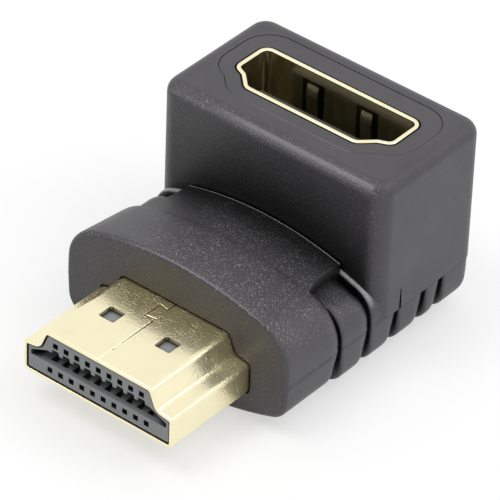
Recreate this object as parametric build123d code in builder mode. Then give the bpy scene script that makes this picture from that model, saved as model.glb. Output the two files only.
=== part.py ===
"""Right-angle adapter for the 19-contact digital video connector: plug forward, socket up.

Frame, in millimetres: the origin is on the plug's axis, at the moulding's front face. The plug
points to -Y, the socket opens to +Z, and X is the width. Both connectors share one D-shaped
profile, whose wide side faces the outside of the bend: down on the plug, to the rear on the socket.
"""

import os
from math import sqrt

from build123d import *

os.makedirs("parts", exist_ok=True)

# Contact rows
contact_pitch = 1.0
wide_row_count = 10
narrow_row_count = 9

# Connector profile, outside of the plug's shell
plug_side_margin = 1.95  # beyond the wide row, half a pitch past its last contact
plug_height = 4.45
narrow_inset = 2.0  # end of the narrow side, in from the upright side
shoulder_inset = 1.35  # foot of each slope, in from the upright side
shoulder_rise = 0.65  # foot of each slope above the axis
side_rise = 0.45  # top of each upright side above the axis
wide_corner = 0.5
shoulder_corner = 0.4
slope_root = 0.6
narrow_corner = 0.55

# Contacts
contact_width = 0.4
contact_sheet = 0.15
contact_tip_gap = 0.1
contact_bend_reach = 1.7  # sprung bend, behind the tip
contact_stem_reach = 3.4  # straight stem, behind the tip
contact_stem_offset = 0.95
contact_proud = 0.045  # sprung bend, into the slot
contact_step_start = 1.2  # step down to the board, ahead of the insulator's rear
contact_step_end = 0.5
contact_bend_radius = 0.6
contact_step_radius = 0.25

# Plug shell, folded from sheet
plug_reach = 8.4
plug_root = 3.5
plug_sheet = 0.3
plug_tip_radius = 0.18
window_size = 1.4
window_corner = 0.15
window_spacing = 5.2
window_setback = 3.85
seam_width = 0.07
seam_key_start = 0.8
seam_key_length = 1.35
seam_key_depth = 0.85
seam_key_flare = 0.15
pit_setback = 6.75
pit_shift = 0.1
pit_radius = 0.12

# Plug insulator
insulator_gap = 0.05
insulator_recess = 0.1
insulator_root = 1.5
front_wall = 0.4
slot_end_inset = 0.65
slot_end_rise = -0.2
slot_lobe_inset = 2.2
slot_wide_side = -0.6
slot_narrow_side = 0.47
slot_floor_setback = 1.0
scallop_width = 0.68
scallop_rise = 0.78
hole_size = 0.46
hole_offset = 1.18
channel_width = 0.56
channel_offset = 1.5

# Socket shell and insulator, whose profile has a wider shoulder than the plug's
socket_shoulder_inset = 0.88
socket_shoulder_rise = 1.13
socket_side_rise = 0.74
mating_gap = 0.05
socket_sheet = 0.35
socket_y = 16.0
rim_proud = 0.08
socket_shell_foot = 0.95
rim_edge = 0.1
spring_spacing = 5.0
spring_width = 1.0
spring_slit = 0.5
spring_top = 0.95
spring_length = 4.6
spring_sheet = 0.2
spring_press = 0.3  # bump, inwards from the wall
spring_tip_press = 0.15
spring_straight = 0.6
spring_bump_drop = 1.2  # bump, below the top of its cut-out
spring_bend_radius = 1.0
spring_tip_radius = 0.5
leg_width = 1.0
leg_length = 1.0
leg_inset = 1.45  # legs in the wide side, in from the upright sides
tongue_gap = 0.085  # between the tongue's faces and the plug's slot
tongue_end_gap = 0.3
tongue_recess = 2.2
tongue_chamfer = 0.15
socket_base_top = 4.0
socket_base_foot = 1.1
socket_contact_recess = 0.5
socket_contact_proud = 0.03
socket_contact_radius = 0.3
socket_tail = 1.5

# Circuit board
board_sheet = 1.0
board_margin = 0.525  # beyond the legs in the upright sides
board_corner = 0.6
board_rear_margin = 1.0
board_gap = 0.1
board_neck_length = 0.5  # past the plug shell's root
plug_tail_length = 0.3

# Inner moulding
inner_side_wall = 0.2
inner_roof = 0.375
inner_floor = 0.675
inner_front = 1.2
inner_rear_wall = 0.7
inner_corner = 1.0
collar_wall = 1.5
collar_shift = 0.3
collar_chamfer = 0.07
shell_relief = 0.13
relief_depth = 0.6
solder_gap = 0.2

# Outer moulding
boot_half_width = 10.3
side_bow = 0.2
crown_radius = 26.0
front_top = 5.95
saddle_slope = 0.105
saddle_step = 0.03
boot_bottom = -4.95
underside_flat = 0.3  # flat cut into the bowed underside
parting_height = -0.2
bottom_corner = 1.7
front_corner = 3.5
rear_corner = 2.4
front_edge = 0.4
rib_front_edge = 0.3  # sharp, so that each bead overlaps the next like a shingle
rib_rear_edge = 1.4
groove_depth = 0.95
rib_top_drop = 0.26
rib_bottom_drop = 0.35  # ribs' underside below the front block's
rib_lengths = (3.35, 3.2, 3.2, 2.05)
last_rib_length = 3.75  # past the socket block's rear corners
saddle_half = 7.0
saddle_spread = 0.15
saddle_flare = 1.6
saddle_flare_start = 1.2  # ahead of the first groove
saddle_flare_end = 0.5
saddle_flare_radius = 1.4
saddle_foot = 2.0
saddle_overlap = 1.0  # into the socket block
block_ahead = 5.95  # socket block's front, ahead of the socket's axis
block_behind = 6.0
block_step = 0.05  # socket block beyond the ribs below it, all round
block_top = 11.7
block_corner = 1.5
block_edge = 1.1
fading_groove_height = 1.8
fading_groove_depth = 0.6
fading_groove_half = 0.14
fading_groove_tip = 0.05

plug_width = wide_row_count * contact_pitch + 2 * plug_side_margin
shoulder_half = plug_width / 2 - shoulder_inset
slot_half = plug_width / 2 - slot_end_inset
slot_lobe_half = plug_width / 2 - slot_lobe_inset
tongue_offset = (slot_wide_side + slot_narrow_side) / 2
tongue_sheet = slot_narrow_side - slot_wide_side - 2 * tongue_gap
socket_rim = block_top + rim_proud
socket_wall = mating_gap + socket_sheet
socket_wall_offset = plug_height / 2 + mating_gap + socket_sheet / 2
wide_leg_x = plug_width / 2 - leg_inset
wide_leg_y = socket_y + socket_wall_offset
side_leg_x = plug_width / 2 + mating_gap + socket_sheet / 2
side_leg_y = socket_y + (plug_height / 2 - socket_side_rise) / 2
board_top = board_sheet / 2
board_half_width = side_leg_x + board_margin
board_end = wide_leg_y + board_rear_margin
tail_height = board_top + contact_sheet / 2
plug_tail_end = plug_root + plug_tail_length
block_front = socket_y - block_ahead
block_rear = socket_y + block_behind
ribs_end = block_rear - block_step
last_rib_start = ribs_end - last_rib_length
rib_stations = [last_rib_start - sum(rib_lengths[i:]) for i in range(len(rib_lengths) + 1)]
front_length = rib_stations[0]
rest_height = boot_bottom + underside_flat
plug_plane = Plane.XZ


def socket_plane(height):
    """Horizontal plane on the socket's axis, with the narrow side towards its +Y."""
    return Plane(origin=(0, socket_y, height), x_dir=(-1, 0, 0), z_dir=(0, 0, 1))


def behind(distance):
    """Upright plane at a distance behind the moulding's front face."""
    return plug_plane.offset(-distance)


def row(count):
    """Centres of one row of contacts across the width."""
    return [(i - (count - 1) / 2) * contact_pitch for i in range(count)]


def connector_profile(grow, side_top, foot_inset, foot_rise):
    """D-shaped connector profile, offset outwards from the plug shell's outside."""
    half_width, half_height = plug_width / 2, plug_height / 2
    narrow_half, foot_half = half_width - narrow_inset, half_width - foot_inset
    with BuildSketch() as profile:
        with BuildLine():
            FilletPolyline(
                (-half_width, -half_height),
                (half_width, -half_height),
                (half_width, side_top),
                (foot_half, foot_rise),
                (narrow_half, half_height),
                (-narrow_half, half_height),
                (-foot_half, foot_rise),
                (-half_width, side_top),
                close=True,
                radius=[wide_corner, wide_corner, shoulder_corner, slope_root,
                        narrow_corner, narrow_corner, slope_root, shoulder_corner],
            )
        make_face()
        if grow:
            offset(amount=grow)
    return profile.sketch


def plug_profile(grow):
    """Plug's profile, offset outwards from its shell's outside."""
    return connector_profile(grow, side_rise, shoulder_inset, shoulder_rise)


def socket_profile(grow):
    """Socket's profile, offset outwards from a seated plug's shell."""
    return connector_profile(grow, socket_side_rise, socket_shoulder_inset, socket_shoulder_rise)


def boot_profile(top, top_corner, bottom, inset=0):
    """Bowed section of the outer moulding, widest at the parting line."""
    side_half = boot_half_width - inset
    corner_half = side_half - side_bow
    crown = crown_radius - sqrt(crown_radius**2 - corner_half**2)
    top, bottom = top - inset, bottom + inset
    upper, lower = top - crown, bottom + crown
    with BuildSketch() as profile:
        with BuildLine():
            ThreePointArc((-corner_half, upper), (0, top), (corner_half, upper))
            ThreePointArc((corner_half, upper), (side_half, parting_height), (corner_half, lower))
            ThreePointArc((corner_half, lower), (0, bottom), (-corner_half, lower))
            ThreePointArc((-corner_half, lower), (-side_half, parting_height), (-corner_half, upper))
        make_face()
        fillet(profile.vertices().sort_by(Axis.Y)[2:], radius=top_corner - inset)
        fillet(profile.vertices().sort_by(Axis.Y)[:4].group_by(Axis.Y)[0], radius=bottom_corner - inset)
    return profile.sketch


def contact(x, path, radius):
    """Flat contact strip whose centre line is a path of (y, z) points."""
    with BuildPart() as strip:
        with BuildSketch(Plane.YZ.offset(x)):
            with BuildLine():
                FilletPolyline(*path, radius=radius)
            trace(line_width=contact_sheet)
        extrude(amount=contact_width / 2, both=True)
    return strip.part


# Plug contacts: a tip behind its hole, a sprung bend into the slot and a tail on the board
front_wall_rear = plug_reach - insulator_recess - front_wall
tip_y = contact_tip_gap - front_wall_rear
plug_contacts = []
plug_rows = (-1, wide_row_count, slot_wide_side), (1, narrow_row_count, slot_narrow_side)
for side, count, slot_side in plug_rows:
    for x in row(count):
        plug_contacts.append(contact(
            x,
            [
                (tip_y, side * hole_offset),
                (tip_y + contact_bend_reach, slot_side + side * (contact_sheet / 2 - contact_proud)),
                (tip_y + contact_stem_reach, side * contact_stem_offset),
                (insulator_root - contact_step_start, side * contact_stem_offset),
                (insulator_root - contact_step_end, side * tail_height),
                (plug_tail_end, side * tail_height),
            ],
            [contact_bend_radius, contact_bend_radius, contact_step_radius, contact_step_radius],
        ))

# Plug insulator
with BuildPart() as plug_insulator:
    with BuildSketch(behind(insulator_root)):
        add(plug_profile(-plug_sheet - insulator_gap))
    extrude(amount=insulator_root + plug_reach - insulator_recess)
    with BuildSketch(plug_plane.offset(plug_reach)):
        with BuildLine():
            Polyline(
                (-slot_half, slot_wide_side), (slot_half, slot_wide_side), (slot_half, slot_end_rise),
                (slot_lobe_half, slot_narrow_side), (-slot_lobe_half, slot_narrow_side),
                (-slot_half, slot_end_rise), close=True,
            )
        make_face()
    extrude(amount=-(plug_reach - slot_floor_setback), mode=Mode.SUBTRACT)
    scallop_height = scallop_rise - slot_narrow_side
    with BuildSketch(plug_plane.offset(plug_reach)):
        with Locations(*[(x, slot_narrow_side) for x in row(narrow_row_count)]):
            RectangleRounded(scallop_width, 2 * scallop_height, scallop_height * 0.45)
        with Locations(*[(x, hole_offset) for x in row(narrow_row_count)]):
            Rectangle(hole_size, hole_size)
        with Locations(*[(x, -hole_offset) for x in row(wide_row_count)]):
            Rectangle(hole_size, hole_size)
    extrude(amount=-(insulator_recess + front_wall + contact_tip_gap), mode=Mode.SUBTRACT)
    with BuildSketch(plug_plane.offset(front_wall_rear)):
        with Locations(*[(x, channel_offset / 2) for x in row(narrow_row_count)]):
            Rectangle(channel_width, channel_offset)
        with Locations(*[(x, -channel_offset / 2) for x in row(wide_row_count)]):
            Rectangle(channel_width, channel_offset)
    extrude(amount=-(front_wall_rear - slot_floor_setback), mode=Mode.SUBTRACT)
    add(plug_contacts, mode=Mode.SUBTRACT)

# Plug shell: one folded sheet, with a keyed butt seam and two latch windows in its narrow side
with BuildPart() as plug_shell:
    with BuildSketch(behind(plug_root)):
        add(plug_profile(0))
    extrude(amount=plug_root + plug_reach)
    fillet(plug_shell.faces().sort_by(Axis.Y)[0].edges(), radius=plug_tip_radius)
    with BuildSketch(behind(plug_root)):
        add(plug_profile(-plug_sheet))
    extrude(amount=plug_root + plug_reach, mode=Mode.SUBTRACT)
    with BuildSketch(Plane.XY.offset(plug_height / 2)):
        with Locations((0, -window_setback)):
            with GridLocations(window_spacing, 1, 2, 1):
                RectangleRounded(window_size, window_size, window_corner)
    extrude(amount=-plug_sheet, mode=Mode.SUBTRACT)
    key_end = -seam_key_start - seam_key_length
    with BuildSketch(Plane.XY.offset(plug_height / 2)):
        with BuildLine():
            Polyline(
                (0, plug_root), (0, -seam_key_start), (-seam_key_depth, -seam_key_start + seam_key_flare),
                (-seam_key_depth, key_end - seam_key_flare), (0, key_end), (0, -plug_reach),
            )
        trace(line_width=seam_width)
    extrude(amount=-plug_sheet, mode=Mode.SUBTRACT)
    with Locations((pit_shift, -pit_setback, plug_height / 2)):
        Hole(radius=pit_radius, depth=plug_sheet / 2)

# Circuit board: a neck inside the plug's shell, a wide rear and slots for the socket's legs
board_front = insulator_root + board_gap
board_neck_half = shoulder_half - plug_sheet - 2 * board_gap
board_neck_end = plug_root + board_neck_length
with BuildPart() as circuit_board:
    with BuildSketch(Plane.XY.offset(-board_sheet / 2)):
        with Locations((0, (board_front + board_end) / 2)):
            Rectangle(2 * board_neck_half, board_end - board_front)
        with Locations((0, (board_neck_end + board_end) / 2)):
            RectangleRounded(2 * board_half_width, board_end - board_neck_end, board_corner)
        with Locations((-wide_leg_x, wide_leg_y), (wide_leg_x, wide_leg_y)):
            Rectangle(leg_width + 2 * board_gap, socket_sheet + 2 * board_gap, mode=Mode.SUBTRACT)
        with Locations((-side_leg_x, side_leg_y), (side_leg_x, side_leg_y)):
            Rectangle(socket_sheet + 2 * board_gap, leg_width + 2 * board_gap, mode=Mode.SUBTRACT)
    extrude(amount=board_sheet)

# Socket contacts: blades in both faces of the tongue, bent outwards onto the board
tongue_y = socket_y - tongue_offset
blade_offset = tongue_sheet / 2 + socket_contact_proud - contact_sheet / 2
blade_top = socket_rim - tongue_recess - socket_contact_recess
socket_contacts = []
for side, count in ((1, wide_row_count), (-1, narrow_row_count)):
    for x in row(count):
        blade_y = tongue_y + side * blade_offset
        socket_contacts.append(contact(
            x,
            [(blade_y, blade_top), (blade_y, tail_height), (blade_y + side * socket_tail, tail_height)],
            socket_contact_radius,
        ))

# Socket insulator: a base that fills the shell's foot, and the tongue
with BuildPart() as socket_insulator:
    with BuildSketch(socket_plane(socket_base_foot)):
        add(socket_profile(mating_gap))
    extrude(amount=socket_base_top - socket_base_foot)
    with BuildSketch(socket_plane(socket_base_foot)):
        with Locations((0, tongue_offset)):
            Rectangle(2 * (slot_half - tongue_end_gap), tongue_sheet)
    extrude(amount=socket_rim - tongue_recess - socket_base_foot)
    chamfer(socket_insulator.faces().sort_by(Axis.Z)[-1].edges(), length=tongue_chamfer)
    add(socket_contacts, mode=Mode.SUBTRACT)

# Socket shell: a folded tube with four sprung tabs and four legs
with BuildPart() as socket_shell:
    with BuildSketch(socket_plane(socket_shell_foot)):
        add(socket_profile(socket_wall))
    extrude(amount=socket_rim - socket_shell_foot)
    fillet(socket_shell.faces().sort_by(Axis.Z)[-1].edges(), radius=rim_edge)
    with BuildSketch(socket_plane(socket_shell_foot)):
        add(socket_profile(mating_gap))
    extrude(amount=socket_rim - socket_shell_foot, mode=Mode.SUBTRACT)
    spring_centre = socket_rim - spring_top - spring_length / 2
    with BuildSketch(Plane.XZ.offset(-socket_y)):
        with Locations((0, spring_centre)):
            with GridLocations(spring_spacing, 1, 2, 1):
                Rectangle(spring_width + 2 * spring_slit, spring_length)
    extrude(amount=plug_height / 2 + 2 * socket_wall, both=True, mode=Mode.SUBTRACT)
    spring_foot = spring_centre - spring_length / 2
    for side in (1, -1):
        wall_y = socket_y + side * socket_wall_offset
        for x in (-spring_spacing / 2, spring_spacing / 2):
            with BuildSketch(Plane.YZ.offset(x)):
                with BuildLine():
                    FilletPolyline(
                        (wall_y, spring_foot - spring_sheet),
                        (wall_y, spring_foot + spring_straight),
                        (wall_y - side * spring_press, spring_foot + spring_length - spring_bump_drop),
                        (wall_y - side * spring_tip_press, spring_foot + spring_length - spring_slit / 2),
                        radius=[spring_bend_radius, spring_tip_radius],
                    )
                trace(line_width=spring_sheet)
            extrude(amount=spring_width / 2, both=True)
    with BuildSketch(Plane.XY.offset(-board_top - leg_length)):
        with Locations((-wide_leg_x, wide_leg_y), (wide_leg_x, wide_leg_y)):
            Rectangle(leg_width, socket_sheet)
        with Locations((-side_leg_x, side_leg_y), (side_leg_x, side_leg_y)):
            Rectangle(socket_sheet, leg_width)
    extrude(amount=board_top + leg_length + socket_shell_foot + socket_sheet)

# Inner moulding's outside, which is also the cavity in the outer moulding
inner_half_width = board_half_width + inner_side_wall
inner_rear = board_end + inner_rear_wall
with BuildPart() as inner_form:
    with BuildSketch(behind(inner_rear)):
        with Locations((0, (inner_roof - inner_floor) / 2)):
            RectangleRounded(2 * inner_half_width, plug_height + inner_roof + inner_floor, inner_corner)
    extrude(amount=inner_rear - inner_front)
    with BuildSketch(Plane.XY):
        with Locations((0, socket_y + collar_shift)):
            add(socket_profile(0).rotate(Axis.Z, 180))
        offset(amount=socket_wall + collar_wall, kind=Kind.INTERSECTION)
    extrude(amount=block_top)

# Inner moulding, cast around the board, both shells' roots and the soldered tails
with BuildPart() as inner_mould:
    add(inner_form.part)
    chamfer(inner_mould.faces().sort_by(Axis.Z)[-1].edges(), length=collar_chamfer)
    with BuildSketch(behind(plug_root)):
        add(plug_profile(0))
    extrude(amount=plug_root - inner_front, mode=Mode.SUBTRACT)
    with BuildSketch(socket_plane(socket_shell_foot)):
        add(socket_profile(socket_wall))
    extrude(amount=block_top - socket_shell_foot, mode=Mode.SUBTRACT)
    with BuildSketch(socket_plane(block_top)):
        add(socket_profile(socket_wall + shell_relief))
    extrude(amount=-relief_depth, mode=Mode.SUBTRACT)
    add(circuit_board.part, mode=Mode.SUBTRACT)
    tail_zone_width = wide_row_count * contact_pitch
    with BuildSketch(behind(plug_tail_end + solder_gap)):
        Rectangle(tail_zone_width, 2 * (board_top + contact_sheet + solder_gap))
    extrude(amount=plug_tail_length + solder_gap, mode=Mode.SUBTRACT)
    with BuildSketch(Plane.XY.offset(board_top)):
        with Locations((0, tongue_y)):
            Rectangle(tail_zone_width, 2 * (blade_offset + socket_tail + solder_gap))
    extrude(amount=socket_shell_foot - board_top, mode=Mode.SUBTRACT)
    add(socket_shell.part, mode=Mode.SUBTRACT)

# Outer moulding, front: a crowned block that the plug comes out of
saddle_end = block_front + saddle_overlap
with BuildPart() as front_block:
    with BuildSketch(plug_plane):
        add(boot_profile(front_top, front_corner, boot_bottom))
    with BuildSketch(behind(saddle_end)):
        add(boot_profile(front_top - saddle_slope * saddle_end, rear_corner, boot_bottom))
    loft()
    split(bisect_by=behind(front_length), keep=Keep.TOP)
    fillet(front_block.faces().sort_by(Axis.Y)[0].edges(), radius=front_edge)
    fillet(front_block.faces().sort_by(Axis.Y)[-1].edges(), radius=rib_rear_edge)

# Outer moulding, saddle: the block's crowned top runs back over the ribs to the socket block
saddle_top = front_top - saddle_step
with BuildPart() as saddle:
    with BuildSketch(plug_plane):
        add(boot_profile(saddle_top, front_corner, boot_bottom))
    with BuildSketch(behind(saddle_end)):
        add(boot_profile(saddle_top - saddle_slope * saddle_end, rear_corner, boot_bottom))
    loft()
    with BuildSketch(Plane.XY.offset(saddle_foot)):
        with BuildLine():
            right_side = FilletPolyline(
                (saddle_half + saddle_flare, front_length - saddle_flare_start),
                (saddle_half, front_length + saddle_flare_end),
                (saddle_half + saddle_spread, saddle_end),
                radius=saddle_flare_radius,
            )
            mirror(right_side, about=Plane.YZ)
            for end in (right_side @ 0, right_side @ 1):
                Line((-end.X, end.Y), (end.X, end.Y))
        make_face()
    extrude(amount=front_top, mode=Mode.INTERSECT)

# Outer moulding, ribs: overlapping beads around the neck and under the socket block
rib_top = front_top - saddle_slope * rib_stations[1] - rib_top_drop
rib_bottom = boot_bottom - rib_bottom_drop
ribs = []
for start, end in zip(rib_stations, rib_stations[1:] + [ribs_end]):
    with BuildPart() as rib:
        with BuildSketch(behind(end)):
            add(boot_profile(rib_top, rear_corner, rib_bottom))
        extrude(amount=end - start)
        fillet(rib.faces().sort_by(Axis.Y)[0].edges(), radius=rib_front_edge)
        rear_radius = block_corner if end == ribs_end else rib_rear_edge
        fillet(rib.faces().sort_by(Axis.Y)[-1].edges(), radius=rear_radius)
    ribs.append(rib.part)

# Outer moulding, core: the bottom of the grooves between the ribs
core_end = last_rib_start + rib_front_edge
with BuildPart() as rib_core:
    with BuildSketch(behind(core_end)):
        add(boot_profile(rib_top, rear_corner, rib_bottom, groove_depth))
    extrude(amount=core_end - front_length + rib_rear_edge)

# Outer moulding, socket block: upright and flat-sided, down to the parting line
with BuildPart() as socket_block:
    with BuildSketch(Plane.XY.offset(parting_height)):
        with Locations((0, (block_front + block_rear) / 2)):
            RectangleRounded(2 * (boot_half_width + block_step), block_rear - block_front, block_corner)
    extrude(amount=block_top - parting_height)
    fillet(socket_block.faces().sort_by(Axis.Z)[-1].edges(), radius=block_edge)

# Outer moulding, whole
with BuildPart() as overmould:
    add(front_block.part)
    add(saddle.part)
    add(rib_core.part)
    for rib_part in ribs:
        add(rib_part)
    add(socket_block.part)
    for side in (-1, 1):
        groove_place = (side * (boot_half_width + block_step), rib_stations[2])
        with BuildSketch(Plane.XY.offset(parting_height)):
            with Locations(groove_place):
                Ellipse(fading_groove_depth, fading_groove_half)
        with BuildSketch(Plane.XY.offset(parting_height + fading_groove_height)):
            with Locations(groove_place):
                Circle(fading_groove_tip)
        loft(mode=Mode.SUBTRACT)
    split(bisect_by=Plane.XY.offset(rest_height), keep=Keep.TOP)
    add(inner_form.part, mode=Mode.SUBTRACT)
    with BuildSketch(plug_plane):
        add(plug_profile(shell_relief))
    extrude(amount=-inner_front, mode=Mode.SUBTRACT)

pieces = {
    "overmould": overmould.part,
    "inner_mould": inner_mould.part,
    "circuit_board": circuit_board.part,
    "plug_shell": plug_shell.part,
    "plug_insulator": plug_insulator.part,
    "socket_shell": socket_shell.part,
    "socket_insulator": socket_insulator.part,
}
pieces.update({f"plug_contact_{i:02d}": piece for i, piece in enumerate(plug_contacts, 1)})
pieces.update({f"socket_contact_{i:02d}": piece for i, piece in enumerate(socket_contacts, 1)})

for name, piece in pieces.items():
    piece.label = name
    export_step(piece, f"parts/{name}.step")
    print(name, "solids", len(piece.solids()), "volume", round(piece.volume, 2))
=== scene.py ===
"""Looks of a right-angle digital video adapter: soft black moulding, gold plug and socket, grey insulator.

Lengths are in metres, in the part's own frame: the plug points to -Y, the socket opens to +Z, and X is the width.
"""

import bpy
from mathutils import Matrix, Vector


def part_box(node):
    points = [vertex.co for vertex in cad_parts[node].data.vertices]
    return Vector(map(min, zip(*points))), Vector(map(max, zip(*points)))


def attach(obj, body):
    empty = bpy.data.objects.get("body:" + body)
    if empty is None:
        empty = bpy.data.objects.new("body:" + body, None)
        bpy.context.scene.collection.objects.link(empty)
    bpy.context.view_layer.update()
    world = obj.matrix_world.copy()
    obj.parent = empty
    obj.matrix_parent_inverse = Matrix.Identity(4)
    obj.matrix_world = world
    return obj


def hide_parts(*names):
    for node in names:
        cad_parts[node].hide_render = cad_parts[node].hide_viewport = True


bl_info = {
    "name": "Right-angle video adapter",
    "version": (1, 0, 0),
    "blender": (4, 5, 0),
    "location": "3D View > Sidebar > Adapter",
    "description": "Builds a moulded right-angle video adapter and its studio",
    "category": "Object",
}

from cmath import phase, rect
from math import asin, cos, pi, radians, sin, sqrt, tan

import bmesh
import bpy
from bpy.props import FloatProperty, FloatVectorProperty, IntProperty, PointerProperty
from mathutils import Matrix, Vector

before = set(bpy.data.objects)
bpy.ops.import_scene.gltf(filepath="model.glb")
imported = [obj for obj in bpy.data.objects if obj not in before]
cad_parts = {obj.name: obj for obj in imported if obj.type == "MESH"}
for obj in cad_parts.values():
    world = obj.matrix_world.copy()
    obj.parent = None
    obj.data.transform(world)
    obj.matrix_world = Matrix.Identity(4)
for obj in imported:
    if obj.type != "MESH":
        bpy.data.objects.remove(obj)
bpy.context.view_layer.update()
PLUG_LOW, PLUG_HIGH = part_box("plug_shell")
BOOT_LOW, BOOT_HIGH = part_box("overmould")
SOCKET_LOW, SOCKET_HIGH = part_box("socket_shell")
TONGUE_LOW, TONGUE_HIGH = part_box("socket_insulator")

FINE = 2e-6  # smallest radius and wall that a mesh is given
WELD = FINE / 20  # points closer than this become one
SHARP = 10 * FINE  # radius of corners that lie inside another form
SADDLE_OVERLAP = 0.001  # loft of the saddle, past the socket block's front
SMOOTH_ANGLE = radians(34)  # edges that turn further stay sharp

# Steps along each rounded form.
ARC_STEPS = 7
EDGE_STEPS = 6
BEAD_STEPS = 9
CROWN_STEPS = 26
CORNER_STEPS = 10
SIDE_STEPS = 6
LOWER_CORNER_STEPS = 8
FRONT_STEPS = 6
LEAD_STEPS = 3
FLARE_STEPS = 12
TAIL_STEPS = 12
SADDLE_TOP_STEPS = 24
SADDLE_EDGE_STEPS = 4
BLOCK_EDGE_STEPS = 8
FADING_STEPS = 8
FADING_ROUND_STEPS = 24
SMALL_EDGE_STEPS = 3
PIT_STEPS = 20

# The flash along the parting line: (place above it, height), both in heights of flash, and where it ends.
FLASH_PROFILE = ((1.0, 1.0), (0.0, 0.5), (-1.0, -0.8), (-3.0, 0.0))
FLASH_ABOVE, FLASH_BELOW = 3, 5
LOWER_SIDE_EASE = 1.5  # power by which a groove deepens down the lower half of a side


def length(name, default, description):
    """A size in metres for a property group."""
    return FloatProperty(name=name, default=default, description=description, unit="LENGTH", precision=6)


def colour(name, default, description):
    """A linear colour for a property group."""
    return FloatVectorProperty(name=name, default=default, description=description, subtype="COLOR",
                               size=3, min=0.0, max=1.0)


class ConnectorSizes(bpy.types.PropertyGroup):
    """The D-shaped profile and the contact rows that both connectors share."""

    width: length("Width", PLUG_HIGH.x - PLUG_LOW.x, "Plug shell's width outside")
    height: length("Height", PLUG_HIGH.z - PLUG_LOW.z, "Plug shell's height outside")
    narrow_inset: length("Narrow inset", 0.002, "End of the narrow side, in from the upright side")
    plug_shoulder_inset: length("Plug shoulder inset", 0.00135, "Foot of each slope, in from the upright side")
    plug_shoulder_rise: length("Plug shoulder rise", 0.00065, "Foot of each slope above the axis")
    plug_side_rise: length("Plug side rise", 0.00045, "Top of each upright side above the axis")
    socket_shoulder_inset: length("Socket shoulder inset", 0.00088, "The same foot on the socket, in from its side")
    socket_shoulder_rise: length("Socket shoulder rise", 0.00113, "The same foot on the socket, above its axis")
    socket_side_rise: length("Socket side rise", 0.00074, "Top of the socket's upright sides, above its axis")
    wide_corner: length("Wide corner", 0.0005, "Radius at the ends of the wide side")
    shoulder_corner: length("Shoulder corner", 0.0004, "Radius at the top of each upright side")
    slope_root: length("Slope root", 0.0006, "Radius at the foot of each slope")
    narrow_corner: length("Narrow corner", 0.00055, "Radius at the ends of the narrow side")
    pitch: length("Pitch", 0.001, "Distance between neighbouring contacts")
    wide_count: IntProperty(name="Wide row", default=10, description="Contacts in the wide row")
    narrow_count: IntProperty(name="Narrow row", default=9, description="Contacts in the narrow row")
    contact_width: length("Contact width", 0.0004, "Width of each contact strip")
    contact_sheet: length("Contact sheet", 0.00015, "Thickness of each contact strip")


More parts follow.
